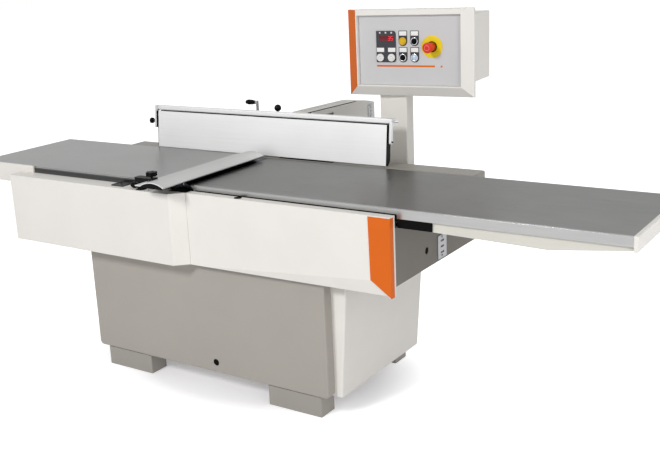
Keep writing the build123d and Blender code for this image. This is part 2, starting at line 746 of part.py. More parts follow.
with BuildPart() as fence_guide_cover:
    cover_body(0, Mode.ADD)
    fillet(fence_guide_cover.faces().sort_by(Axis.X)[0].edges().group_by(Axis.Z)[-1], 4)
    cover_body(sheet, Mode.SUBTRACT)
    block((cover_right - sheet - 1, cover_right + 1), (cover_front - 1, cheek_front),
          (table_height - 1, cover_high - cover_flange), Mode.SUBTRACT)
    slot_x = cover_right - sheet - 1 - slot_width / 2
    block((slot_x - slot_width / 2, slot_x + slot_width / 2), (cover_front - 1, slot_rear),
          (cover_high - cover_fall - 2 * sheet, cover_high + 1), Mode.SUBTRACT)
    fall_angle = degrees(atan2(cover_fall, bend_start - cover_front))
    ridge_place = (bar_x - 20, (cover_front + slot_rear) / 2, cover_high - cover_fall / 2)
    with Locations(Location(ridge_place, (-fall_angle, 0, 0))):
        with GridLocations(12, 0, 5, 1):
            Box(3, slot_rear - cover_front - 20, 2, mode=Mode.SUBTRACT)
keep(fence_guide_cover.part, "fence_guide_cover")

# Drilled plates with two screws each: one on the frame's right wall, one on the cover
plate_thickness = 3


def drilled_plate(x, y, z, width, height):
    """A rounded plate on a wall that faces +X, with a row of holes and two screw heads."""
    with BuildSketch(Plane(origin=(x, y, z), x_dir=(0, 1, 0), z_dir=(1, 0, 0))) as plate:
        RectangleRounded(width, height, 4)
        with GridLocations(0, height / 4, 1, 3):
            SlotOverall(width * 0.4, 7, mode=Mode.SUBTRACT)
    extrude(plate.sketch, amount=plate_thickness)
    for screw_z in (z - height * 0.4, z + height * 0.4):
        rod(4, (x + plate_thickness, y, screw_z), (x + plate_thickness + 3, y, screw_z))


with BuildPart() as hinge_plates:
    drilled_plate(frame_right, 127, frame_bottom + 52, 68, 90)
    drilled_plate(cover_right, cover_rear - 42, cover_high - 68, 38, 64)
keep(hinge_plates.part, "hinge_plates")

# Fence, modelled upright in its own section: back is the distance behind the face, up the height on the face
lean = radians(fence_lean)
pivot_y = fence_y + hinge_back * cos(lean) + hinge_up * sin(lean)
pivot_z = table_height + fence_lift - hinge_back * sin(lean) + hinge_up * cos(lean)


def fence_plane(x):
    """Section plane of the leaning fence at a given X: local x is back, local y is up."""
    back_dir = Vector(0, cos(lean), -sin(lean))
    up_dir = Vector(0, sin(lean), cos(lean))
    corner = Vector(x, pivot_y, pivot_z) - back_dir * hinge_back - up_dir * hinge_up
    return Plane(origin=corner, x_dir=back_dir, z_dir=(1, 0, 0))


hinge_xs = (bar_x - 235, bar_x + 165)
notch_height = 42
notch_wall = 1.5
with BuildPart() as fence_plate:
    with BuildSketch(fence_plane(fence_left)) as fence_section:
        with BuildLine():
            Polyline((0, 0), (0, fence_height), (fence_thickness, fence_height), (fence_thickness, 16),
                     (12, 0), close=True)
        make_face()
        chamber = (fence_height - 24) / 4
        for level in range(4):
            with Locations((fence_thickness / 2 + 0.5, 20 + chamber * (level + 0.5))):
                Rectangle(fence_thickness - 9, chamber - 5, mode=Mode.SUBTRACT)
    extrude(fence_section.sketch, amount=fence_right - fence_left)
    for hinge_x in hinge_xs:
        with BuildSketch(fence_plane(hinge_x - hinge_width / 2 - gap)) as notch:
            with BuildLine():
                Polyline((notch_wall, -1), (notch_wall, notch_height), (fence_thickness + 1, notch_height),
                         (fence_thickness + 1, -1), close=True)
            make_face()
        extrude(notch.sketch, amount=hinge_width + 2 * gap, mode=Mode.SUBTRACT)
        with BuildSketch(fence_plane(hinge_x - hinge_width / 2 - 15)) as pin_hole:
            with Locations((hinge_back, hinge_up)):
                Circle(hinge_pin_radius + running_fit)
        extrude(pin_hole.sketch, amount=hinge_width + 30, mode=Mode.SUBTRACT)
keep(fence_plate.part, "fence_plate")

with BuildPart() as fence_hinge_pins:
    for hinge_x in hinge_xs:
        rod(hinge_pin_radius, (hinge_x - hinge_width / 2 - 14, pivot_y, pivot_z),
            (hinge_x + hinge_width / 2 + 14, pivot_y, pivot_z))
keep(fence_hinge_pins.part, "fence_hinge_pins")

# End caps of the fence: thin plates with a spacer and the pivot stud of the auxiliary fence
aux_low = fence_height + aux_gap
aux_top = aux_low + aux_height
aux_pivot_up = (aux_top + 4) / 2
arm_low = aux_pivot_up - 9.5
arm_gap = 1
arm_offset = end_cap_width + spacer_width + arm_gap
left_x = fence_left - arm_offset - arm_thickness
right_x = fence_right + arm_offset
stud_length = arm_gap + arm_thickness + 4
with BuildPart() as fence_end_caps:
    for cap_x, spacer_x, stud_x in ((fence_left - end_cap_width, fence_left - arm_offset + arm_gap, left_x - 4),
                                    (fence_right, fence_right + end_cap_width, right_x - arm_gap)):
        with BuildSketch(fence_plane(cap_x)) as cap:
            with BuildLine():
                Polyline((0, 0), (0, fence_height), (fence_thickness, fence_height), (fence_thickness, 16),
                         (12, 0), close=True)
            make_face()
            fillet(cap.vertices(), 3)
        extrude(cap.sketch, amount=end_cap_width)
        with BuildSketch(fence_plane(spacer_x)) as spacer:
            with Locations((7, (arm_low + fence_height) / 2)):
                RectangleRounded(13, fence_height - arm_low, 3)
        extrude(spacer.sketch, amount=spacer_width)
        with BuildSketch(fence_plane(stud_x)) as stud:
            with Locations((aux_pivot_back, aux_pivot_up)):
                Circle(stud_radius)
        extrude(stud.sketch, amount=stud_length)
keep(fence_end_caps.part, "fence_end_caps")

# Auxiliary fence: a bar over the fence, on an arm at each end that flips it down in front of the face
with BuildPart() as aux_fence:
    with BuildSketch(fence_plane(left_x)) as aux_section:
        with Locations((aux_setback + aux_thickness / 2, (aux_low + aux_top) / 2)):
            RectangleRounded(aux_thickness, aux_height, 6)
    extrude(aux_section.sketch, amount=right_x + arm_thickness - left_x)
    for arm_x in (left_x, right_x):
        with BuildSketch(fence_plane(arm_x)) as arm:
            with Locations((aux_pivot_back, (arm_low + aux_top) / 2)):
                RectangleRounded(arm_width, aux_top - arm_low, arm_width / 2 - 0.1)
            with Locations((aux_pivot_back - arm_width / 2 + arm_head / 2, aux_top - 13)):
                RectangleRounded(arm_head, 26, 7)
        extrude(arm.sketch, amount=arm_thickness)
        with BuildSketch(fence_plane(arm_x - 1)) as stud_hole:
            with Locations((aux_pivot_back, aux_pivot_up)):
                Circle(stud_radius + running_fit)
        extrude(stud_hole.sketch, amount=arm_thickness + 2, mode=Mode.SUBTRACT)
    with BuildSketch(fence_plane(right_x + arm_thickness)) as handle:
        with Locations((aux_setback + 12, (aux_low + aux_top) / 2)):
            Circle(5.5)
    extrude(handle.sketch, amount=18)
keep(aux_fence.part, "aux_fence")


def knob_profile(radius, height, stem_radius, stem_length):
    """Half section of a round knob on a stem, along the local x axis."""
    return [(-stem_length, 0), (-stem_length, stem_radius), (0, stem_radius), (0, radius * 0.7),
            (height * 0.3, radius), (height * 0.8, radius), (height, radius * 0.75), (height, 0)]


def turned(points, plane):
    """A profile turned about the local x axis of a plane."""
    with BuildSketch(plane) as half:
        with BuildLine():
            Polyline(*points, close=True)
        make_face()
    revolve(half.sketch, axis=Axis(plane.origin, plane.x_dir))


# Lock knob on the left arm of the auxiliary fence
with BuildPart() as aux_lock_knob:
    neck_length = 12
    arm_place = fence_plane(left_x - pin_play - neck_length)
    knob_origin = arm_place.from_local_coords(Vector(aux_pivot_back, aux_pivot_up + 20, 0))
    turned(knob_profile(13, 17, 8, neck_length), Plane(origin=knob_origin, x_dir=(-1, 0, 0), z_dir=(0, 1, 0)))
keep(aux_lock_knob.part, "aux_lock_knob")

# Fence carriage: a low plate with two hinge eyes in front and a block for the slide bar behind
plate_low = table_height + 3
plate_high = table_height + 13
carriage_back = guide_front - 12
with BuildPart() as fence_carriage:
    block((hinge_xs[0] - hinge_width / 2, hinge_xs[1] + hinge_width / 2), (pivot_y + 36, carriage_back - 20),
          (plate_low, plate_high))
    for hinge_x in hinge_xs:
        eye_start, eye_end = hinge_x - hinge_width / 2, hinge_x + hinge_width / 2
        block((eye_start, eye_end), (pivot_y, pivot_y + 40), (plate_low, plate_high))
        rod(9, (eye_start, pivot_y, pivot_z), (eye_end, pivot_y, pivot_z))
        rod(hinge_pin_radius + running_fit, (eye_start - 1, pivot_y, pivot_z), (eye_end + 1, pivot_y, pivot_z),
            Mode.SUBTRACT)
    block((bar_x - 52, bar_x + 52), (carriage_back - 32, carriage_back), (plate_low, bar_top))
keep(fence_carriage.part, "fence_carriage")

# Slide bar, square to the fence
with BuildPart() as fence_bar:
    block((bar_x - bar_width / 2, bar_x + bar_width / 2), (carriage_back, guide_back + fence_travel),
          (bar_bottom, bar_top))
    chamfer(fence_bar.faces().sort_by(Axis.Y)[-1].edges(), 3)
keep(fence_bar.part, "fence_bar")

# Crank that locks the slide bar: an upright rod with a short arm, and a grip on it
crank_top = table_height + crank_rise
with BuildPart() as fence_crank:
    rod(7, (crank_x, lever_y, wing_z[0] + 2), (crank_x, lever_y, crank_top))
    rod(9, (crank_x, lever_y, wing_z[1] + 16 + gap), (crank_x, lever_y, wing_z[1] + 26))
    rod(5, (crank_x, lever_y, crank_top - 8), (crank_x - crank_arm, lever_y, crank_top - 8))
keep(fence_crank.part, "fence_crank")

with BuildPart() as crank_grip:
    turned([(0, 0), (0, 7.5), (0.3 * grip_length, 10.5), (0.65 * grip_length, 11.5), (0.9 * grip_length, 9),
            (grip_length, 4), (grip_length, 0)],
           Plane(origin=(crank_x - crank_arm, lever_y, crank_top - 8), x_dir=(-1, 0, 0), z_dir=(0, 1, 0)))
keep(crank_grip.part, "crank_grip")

# Tilt lever: a flat eye on a cross pin, a stem and a ball knob
with BuildPart() as tilt_lever:
    rod(11, (lever_x, lever_y - 6, lever_pivot[2]), (lever_x, lever_y + 6, lever_pivot[2]))
    rod(4.5, lever_pivot, (lever_x, lever_y, table_height + lever_rise))
    with Locations((lever_x, lever_y, table_height + lever_rise)):
        Sphere(ball_radius)
    rod(5 + running_fit, (lever_x, lever_y - 20, lever_pivot[2]), (lever_x, lever_y + 20, lever_pivot[2]),
        Mode.SUBTRACT)
keep(tilt_lever.part, "tilt_lever")

# Bridge guard: a curved extrusion with a flat flange, and a black liner under its arch
guard_left = guard_centre_x - guard_width / 2
guard_right = guard_centre_x + guard_width / 2
guard_low = table_height + guard_lift
arch_left = guard_left + guard_flange
arch_mid = (arch_left + guard_right) / 2 - 6
with BuildPart() as bridge_guard:
    with BuildSketch(across(guard_rear)) as guard_section:
        with BuildLine():
            Polyline((arch_left, guard_low), (guard_left, guard_low), (guard_left, guard_low + guard_sheet),
                     (arch_left, guard_low + guard_sheet))
            ThreePointArc((arch_left, guard_low + guard_sheet), (arch_mid, guard_low + guard_crown),
                          (guard_right, guard_low + guard_sheet))
            Line((guard_right, guard_low + guard_sheet), (guard_right, guard_low))
            ThreePointArc((guard_right, guard_low), (arch_mid, guard_low + guard_crown - guard_sheet),
                          (arch_left, guard_low))
        make_face()
    extrude(guard_section.sketch, amount=guard_rear - guard_front)
keep(bridge_guard.part, "bridge_guard")

liner_ends = (guard_front + 3, guard_rear - 3)
with BuildPart() as guard_liner:
    with BuildSketch(across(liner_ends[1])) as liner_section:
        with BuildLine():
            Polyline((guard_right, guard_low), (guard_right - 8, guard_low - 5), (arch_left + 8, guard_low - 5),
                     (arch_left, guard_low))
            ThreePointArc((arch_left, guard_low), (arch_mid, guard_low + guard_crown - guard_sheet),
                          (guard_right, guard_low))
        make_face()
    extrude(liner_section.sketch, amount=liner_ends[1] - liner_ends[0])
keep(guard_liner.part, "guard_liner")

# Guard holder: a socket in the front housing, a carrier on a sliding post, and two knobs
holder_y = -half_width - holder_front
collar_top = table_height - 2
clamp_z = (cover_top + collar_top) / 2
with BuildPart() as guard_socket:
    block((holder_x - 22, holder_x + 22), (holder_y - 8, frame_front),
          (frame_top - 70, cover_top - sheet - gap))
    rod(guard_post_radius + 4, (holder_x, holder_y, frame_top - 70), (holder_x, holder_y, collar_top))
    rod(6, (holder_x, holder_y, clamp_z), (holder_x - guard_post_radius - 7, holder_y, clamp_z))
    rod(guard_post_radius + running_fit, (holder_x, holder_y, frame_top - 71),
        (holder_x, holder_y, collar_top + 1), Mode.SUBTRACT)
keep(guard_socket.part, "guard_socket")

jaw_low = guard_low - 9
jaw_high = guard_low + guard_sheet + 5
jaw_grip = 9
carrier_y = (holder_y - 18, holder_y + 18)
with BuildPart() as guard_carrier:
    rod(guard_post_radius, (holder_x, holder_y, frame_top - 66), (holder_x, holder_y, jaw_high))
    block((holder_x - 20, guard_left + jaw_grip), carrier_y, (jaw_low, jaw_high))
    block((guard_left - gap, guard_left + jaw_grip + 1), (carrier_y[0] - 1, carrier_y[1] + 1),
          (guard_low - slide_fit, guard_low + guard_sheet + slide_fit), Mode.SUBTRACT)
    fillet(guard_carrier.edges().filter_by(Axis.Z).group_by(Axis.X)[0], 8)
keep(guard_carrier.part, "guard_carrier")

# Star knob on the carrier's jaw and clamp knob on the socket
with BuildPart() as guard_knob:
    knob_base = (guard_left - 5, holder_y, jaw_high + gap)
    with BuildSketch(Plane.XY.offset(jaw_high + 8)) as star:
        with Locations(knob_base[:2]):
            Circle(star_radius)
            with PolarLocations(star_radius, 6):
                Circle(5.5)
    extrude(star.sketch, amount=16)
    rod(4, knob_base, (knob_base[0], knob_base[1], jaw_high + 10))
keep(guard_knob.part, "guard_knob")

with BuildPart() as guard_clamp_knob:
    clamp_root = (holder_x - guard_post_radius - 10, holder_y, clamp_z)
    turned(knob_profile(11.5, 28, 5, 3 - slide_fit),
           Plane(origin=clamp_root, x_dir=(-1, 0, 0), z_dir=(0, 1, 0)))
keep(guard_clamp_knob.part, "guard_clamp_knob")

# Control post: a rectangular tube on the rear of the frame, closed by a top plate with the swivel bore
post_y = frame_rear + post_depth / 2
post_top = table_height + post_rise
with BuildPart() as post:
    with BuildSketch(Plane.XY.offset(frame_top - 60)):
        with Locations((post_x, post_y)):
            RectangleRounded(post_width, post_depth, 6)
    extrude(amount=post_top - frame_top + 60)
    offset(amount=-sheet, openings=post.faces().sort_by(Axis.Z)[0])
    rod(swivel_radius, (post_x, post_y, post_top - 5), (post_x, post_y, post_top + 1), Mode.SUBTRACT)
keep(post.part, "post")

# Control panel, on a plane of its own: local x along the face, local y up, and it faces the operator
turn = radians(panel_turn)
face_plane = Plane(origin=(panel_x, half_width + panel_y_gap, table_height + panel_rise),
                   x_dir=(cos(turn), sin(turn), 0), z_dir=(sin(turn), -cos(turn), 0))
lip_width = rim_width - rim_bevel_left - rim_bevel_right
lip_height = rim_height - rim_bevel_bottom
lip_shift = ((rim_bevel_left - rim_bevel_right) / 2, rim_bevel_bottom / 2)
face_width = lip_width - 2 * rim_lip
face_height = lip_height - rim_lip - rim_band_top
face_shift = (lip_shift[0], (rim_bevel_bottom + rim_lip - rim_band_top) / 2)
recess_level = rim_bevel - rim_recess
face_level = recess_level + face_thickness

# Where each control sits on the face, from the middle of the rim
control_places = {
    "button_up": (-117.5, -17),
    "button_down": (-69.5, -17),
    "button_start": (-22, 46.5),
    "button_stop": (-22, -17),
    "lamp_button": (27, -17),
    "mode_selector": (27, 46.5),
    "estop_head": (99, 25),
}
shaft_radii = {"mode_selector": 5, "estop_head": 8}
contact_floor = face_level - button_root - estop_travel - 1


def face_point(place, level):
    """A point over the face, from the middle of the rim."""
    return face_plane.from_local_coords(Vector(place[0], place[1], level))


def control_plane(place, level):
    """A plane parallel to the face, centred on a control."""
    return Plane(origin=face_point(place, level), x_dir=face_plane.x_dir, z_dir=face_plane.z_dir)


def control_holes(names, low, high):
    """Clearance holes for the shafts of the named controls, between two levels."""
    for name in names:
        radius = shaft_radii.get(name, button_radius) + pin_play
        place = control_places[name]
        rod(radius, face_point(place, low), face_point(place, high), Mode.SUBTRACT)


def contact_blocks(names):
    """Blocks behind the face that close the holes of the named controls."""
    for name in names:
        radius = shaft_radii.get(name, button_radius) + pin_play + contact_wall
        place = control_places[name]
        rod(radius, face_point(place, contact_floor - contact_wall), face_point(place, recess_level - 1))


def face_slab(width, height, shift, low, high, mode=Mode.ADD, corner=0.5):
    """A rounded slab parallel to the face, between two levels."""
    with BuildSketch(face_plane.offset(low)) as slab:
        with Locations(shift):
            RectangleRounded(width, height, corner)
    extrude(slab.sketch, amount=high - low, mode=mode)


def push_button(name, stand, tip):
    """A round button on its shaft, with the outline of its tip given as steps back and in from the edge."""
    length = button_root + stand
    points = [(0, 0), (0, button_radius)]
    points += [(length - back, button_radius - inward) for back, inward in tip]
    points += [(length, 0)]
    turned(points, Plane(origin=face_point(control_places[name], face_level - button_root),
                         x_dir=face_plane.z_dir, z_dir=face_plane.y_dir))


box_bottom = table_height + panel_rise + box_shift - box_height / 2
box_middle = (0, box_shift)
with BuildPart() as control_box:
    with BuildSketch(face_plane) as rim_outline:
        Rectangle(rim_width, rim_height)
    with BuildSketch(face_plane.offset(rim_bevel)) as lip_outline:
        with Locations(lip_shift):
            Rectangle(lip_width, lip_height)
    loft([rim_outline.sketch.face(), lip_outline.sketch.face()], ruled=True)
    extrude(rim_outline.sketch, amount=-rim_edge)
    face_slab(box_width, box_height, box_middle, -box_depth, 1 - rim_edge, corner=4)
    face_slab(face_width, face_height, face_shift, recess_level, rim_bevel + 1, Mode.SUBTRACT)
    face_slab(face_width, box_height - 2 * sheet, box_middle, -rim_edge, recess_level - sheet, Mode.SUBTRACT)
    face_slab(box_width - 2 * sheet, box_height - 2 * sheet, box_middle, -box_depth - 1, -rim_edge,
              Mode.SUBTRACT)
    contact_blocks(control_places)
    control_holes(control_places, contact_floor, recess_level + 1)
    rod(hub_radius, (post_x, post_y, post_top + gap), (post_x, post_y, box_bottom + 1))
    rod(swivel_radius - running_fit, (post_x, post_y, post_top - 14), (post_x, post_y, post_top + 2))
keep(control_box.part, "control_box")

with BuildPart() as control_back:
    face_slab(box_width, box_height, box_middle, -box_depth - 2, -box_depth, corner=4)
keep(control_back.part, "control_back")

# Orange strip on the left bevel of the rim, mitred at its foot
slope_length = hypot(rim_bevel_left, rim_bevel)
slope_in = (face_plane.x_dir * rim_bevel_left + face_plane.z_dir * rim_bevel) / slope_length
strip_plane = Plane(origin=face_plane.from_local_coords(Vector(-rim_width / 2, -rim_height / 2, 0)),
                    x_dir=face_plane.y_dir, z_dir=face_plane.y_dir.cross(slope_in * -1))
with BuildPart() as panel_strip:
    prism([(0, 0), (rim_height, 0), (rim_height, -slope_length), (rim_bevel_bottom, -slope_length)],
          strip_plane, 1)
keep(panel_strip.part, "panel_strip")

# Face plate in the recess, and the display module on it
with BuildPart() as membrane_plate:
    face_slab(face_width - 2 * gap, face_height - 2 * gap, face_shift, recess_level, face_level)
    control_holes(control_places, recess_level - 1, face_level + 1)
keep(membrane_plate.part, "membrane_plate")

module_place = (-93.5, 25.5)
module_size = (83, 122)
module_thickness = 4
with BuildPart() as display_module:
    with BuildSketch(control_plane(module_place, face_level)) as module_outline:
        Rectangle(*module_size)
        fillet(module_outline.vertices().sort_by(Axis.Z)[:2], 12)
    extrude(module_outline.sketch, amount=module_thickness)
    control_holes(("button_up", "button_down"), face_level - 1, face_level + module_thickness + 1)
keep(display_module.part, "display_module")

# Push buttons: flat, lens-shaped and plain
flat_tip = ((1.5, 0), (0, 1.5))
lens_tip = ((4, 0), (1.2, 3), (0, 7))
with BuildPart() as button_up:
    push_button("button_up", module_thickness + button_stand - 2, flat_tip)
keep(button_up.part, "button_up")

with BuildPart() as button_down:
    push_button("button_down", module_thickness + button_stand - 2, flat_tip)
keep(button_down.part, "button_down")

with BuildPart() as button_start:
    push_button("button_start", button_stand, flat_tip)
keep(button_start.part, "button_start")

with BuildPart() as button_stop:
    push_button("button_stop", button_stand, flat_tip)
keep(button_stop.part, "button_stop")

with BuildPart() as lamp_button:
    push_button("lamp_button", button_stand, lens_tip)
keep(lamp_button.part, "lamp_button")

# Selector: a round base with a raised handle, on a shaft
with BuildPart() as mode_selector:
    selector_place = control_places["mode_selector"]
    rod(shaft_radii["mode_selector"], face_point(selector_place, face_level - button_root),
        face_point(selector_place, face_level + 2))
    rod(button_radius, face_point(selector_place, face_level + gap), face_point(selector_place, face_level + 6))
    with BuildSketch(control_plane(selector_place, face_level + 5)) as handle:
        SlotOverall(2 * button_radius - 1, 7, rotation=50)
    extrude(handle.sketch, amount=11)
keep(mode_selector.part, "mode_selector")

# Emergency stop: a stem, a long collar and a wide cap
with BuildPart() as estop_head:
    stem = shaft_radii["estop_head"]
    turned([(0, 0), (0, stem), (button_root + 8, stem), (button_root + 8, 17), (button_root + 34, 17.5),
            (button_root + 36, 20), (button_root + 49, 20), (button_root + 53, 17), (button_root + 54, 11),
            (button_root + 54, 0)],
           Plane(origin=face_point(control_places["estop_head"], face_level - button_root),
                 x_dir=face_plane.z_dir, z_dir=face_plane.y_dir))
keep(estop_head.part, "estop_head")
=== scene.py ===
import json
import math
import bpy
from mathutils import Matrix, Vector


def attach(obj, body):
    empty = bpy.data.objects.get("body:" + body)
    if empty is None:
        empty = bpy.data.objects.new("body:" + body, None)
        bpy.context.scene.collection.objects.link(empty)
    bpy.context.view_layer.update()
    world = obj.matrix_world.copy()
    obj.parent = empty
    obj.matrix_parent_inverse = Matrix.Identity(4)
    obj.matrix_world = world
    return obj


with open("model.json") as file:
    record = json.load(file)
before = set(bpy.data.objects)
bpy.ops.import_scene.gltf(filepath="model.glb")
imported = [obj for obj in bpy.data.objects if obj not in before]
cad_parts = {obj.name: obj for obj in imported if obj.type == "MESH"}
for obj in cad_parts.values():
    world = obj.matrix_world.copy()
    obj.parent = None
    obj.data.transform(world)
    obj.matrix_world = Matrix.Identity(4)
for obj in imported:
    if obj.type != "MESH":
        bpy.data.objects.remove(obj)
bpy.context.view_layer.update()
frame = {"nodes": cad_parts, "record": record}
nodes = frame["nodes"]
scene = bpy.context.scene
scene.view_settings.view_transform = "Standard"
mm = 0.001  # one millimetre, in metres
print("frame loaded,", len(nodes), "nodes")


# a colour written as an sRGB hex code, in the linear values that Blender's sockets take
def linearColour(code):
    values = [int(code[i:i + 2], 16) / 255 for i in (0, 2, 4)]
    return tuple(v / 12.92 if v < 0.04045 else ((v + 0.055) / 1.055) ** 2.4 for v in values) + (1,)


def shade(code, factor):
    return tuple(min(1, v * factor) for v in linearColour(code)[:3]) + (1,)


# a node with its settings, by the name of a socket or property, and with what feeds its sockets
def addNode(tree, kind, settings=None, links=None):
    node = tree.nodes.new(kind)
    for key, value in (settings or {}).items():
        if isinstance(key, int) or key in node.inputs:
            node.inputs[key].default_value = value
        else:
            setattr(node, key, value)
    for key, source in (links or {}).items():
        tree.links.new(source, node.inputs[key])
    return node


def newMaterial(name):
    material = bpy.data.materials.new(name)
    material.use_nodes = True
    material.node_tree.nodes.clear()
    return material, material.node_tree


# one colour at both ends of a ramp, each end darker or lighter by its factor
def rampColours(ramp, code, factors, ends):
    for stop, factor, end in zip(ramp.color_ramp.elements, factors, ends):
        stop.position = end
        stop.color = shade(code, factor)


# camera at the photograph's viewing angle, solved from the straight edges of tables, base and panel
# angles in degrees, focal length and centre in pixels of the photograph's frame
cameraSet = {
    "place": (2.22325, -3.31852, 1.68271), "yaw": 35.17, "pitch": -15.36, "roll": -2.99,
    "focal": 987.35, "centre": (299.39, 223.0), "frame": (660, 451), "sensor": 36,
}


def makeCamera(s):
    yaw, pitch, roll = (math.radians(s[k]) for k in ("yaw", "pitch", "roll"))
    forward = Vector((-math.sin(yaw) * math.cos(pitch), math.cos(yaw) * math.cos(pitch), math.sin(pitch)))
    right = Vector((math.cos(yaw), math.sin(yaw), 0))
    up = right.cross(forward)
    side = math.cos(roll) * right + math.sin(roll) * up
    top = math.cos(roll) * up - math.sin(roll) * right
    bpy.ops.object.camera_add()
    camera = bpy.context.object
    turned = Matrix((side, top, -forward)).transposed().to_4x4()
    camera.matrix_world = Matrix.Translation(s["place"]) @ turned
    wide, high = s["frame"]
    camera.data.sensor_width = s["sensor"]
    camera.data.lens = s["sensor"] * s["focal"] / wide
    camera.data.shift_x = (wide / 2 - s["centre"][0]) / wide
    camera.data.shift_y = -(high / 2 - s["centre"][1]) / wide
    scene.camera = camera


makeCamera(cameraSet)
print("camera set")

# studio: a pale floor that fades to the white background, weak world light and three lamps
studioSet = {
    "backdrop": "FFFFFF", "world": 0.28,
    "floor": "F0EFF2", "floorSize": 60, "floorLevel": -0.0005,  # just under the feet
    "cloud": 1 / 3, "mottle": (0.985, 1.0), "mottleEnds": (0.35, 0.65),
    "glow": (0.27, 1.0), "fade": (0.72, 1.3),  # the floor's own white near the object and far from it
    "middle": (-0.23, -0.25, 0), "spread": (0.78, 0.48, 1),  # the oval that the fade follows
    "lamps": [
        {"place": (-0.88, -5.0, 3.9), "aim": (0.0, -0.1, 0.7), "size": 1.1, "power": 154},  # key, in front
        {"place": (4.83, -0.5, 4.2), "aim": (0.0, -0.1, 0.7), "size": 5.0, "power": 82},  # right side
        {"place": (4.51, -3.14, 1.2), "aim": (0.0, -0.1, 0.8), "size": 2.6, "power": 62},  # low, front right
    ],
}


# 1 for a ray that sees the background itself, in the camera or in metal and glass, and 0 for one that lights
def seenRays(tree):
    path = addNode(tree, "ShaderNodeLightPath")
    seen = path.outputs["Is Camera Ray"]
    for kind in ("Is Glossy Ray", "Is Transmission Ray"):
        links = {0: seen, 1: path.outputs[kind]}
        seen = addNode(tree, "ShaderNodeMath", {"operation": "MAXIMUM"}, links).outputs[0]
    return seen


def makeFloor(s):
    bpy.ops.object.select_all(action="DESELECT")
    bpy.ops.mesh.primitive_plane_add(size=s["floorSize"], location=(0, 0, s["floorLevel"]))
    floor = bpy.context.object
    floor.name = "studioFloor"
    material, tree = newMaterial("matt studio floor")
    space = addNode(tree, "ShaderNodeTexCoord").outputs["Object"]
    cloud = addNode(tree, "ShaderNodeTexNoise", {"Scale": 1 / s["cloud"], "Detail": 2.0}, {"Vector": space})
    ramp = addNode(tree, "ShaderNodeValToRGB", {}, {"Fac": cloud.outputs["Fac"]})
    rampColours(ramp, s["floor"], s["mottle"], s["mottleEnds"])
    matt = addNode(tree, "ShaderNodeBsdfDiffuse", {}, {"Color": ramp.outputs["Color"]})
    oval = addNode(tree, "ShaderNodeMapping",
                   {"vector_type": "TEXTURE", "Location": s["middle"], "Scale": s["spread"]},
                   {"Vector": space})
    reach = addNode(tree, "ShaderNodeVectorMath", {"operation": "LENGTH"}, {0: oval.outputs["Vector"]})
    (near, far), (weak, full) = s["fade"], s["glow"]
    glow = addNode(tree, "ShaderNodeMapRange",
                   {"From Min": near, "From Max": far, "To Min": weak, "To Max": full},
                   {"Value": reach.outputs["Value"]})
    share = addNode(tree, "ShaderNodeMath", {"operation": "MULTIPLY"},
                    {0: seenRays(tree), 1: glow.outputs["Result"]})
    white = addNode(tree, "ShaderNodeEmission", {"Color": linearColour(s["backdrop"])},
                    {"Strength": share.outputs[0]})
    both = addNode(tree, "ShaderNodeAddShader", {}, {0: matt.outputs[0], 1: white.outputs[0]})
    addNode(tree, "ShaderNodeOutputMaterial", {}, {"Surface": both.outputs[0]})
    floor.data.materials.append(material)


def makeWorld(s):
    world = bpy.data.worlds.new("studio world")
    scene.world = world
    world.use_nodes = True
    tree = world.node_tree
    tree.nodes.clear()
    colour = linearColour(s["backdrop"])
    soft = addNode(tree, "ShaderNodeBackground", {"Color": colour, "Strength": s["world"]})
    plain = addNode(tree, "ShaderNodeBackground", {"Color": colour, "Strength": 1.0})
    mix = addNode(tree, "ShaderNodeMixShader", {},
                  {0: seenRays(tree), 1: soft.outputs[0], 2: plain.outputs[0]})
    addNode(tree, "ShaderNodeOutputWorld", {}, {"Surface": mix.outputs[0]})


def makeLamps(s):
    for own in s["lamps"]:
        bpy.ops.object.light_add(type="AREA", location=own["place"])
        lamp = bpy.context.object
        lamp.data.size = own["size"]
        lamp.data.energy = own["power"]
        aim = Vector(own["aim"]) - Vector(own["place"])
        lamp.rotation_euler = aim.to_track_quat("-Z", "Y").to_euler()


makeFloor(studioSet)
makeWorld(studioSet)
makeLamps(studioSet)
print("studio set")


# the two ends of a roughness, for a Map Range node
def roughRange(s):
    return {"To Min": s["rough"] - s["roughSpread"], "To Max": s["rough"] + s["roughSpread"]}


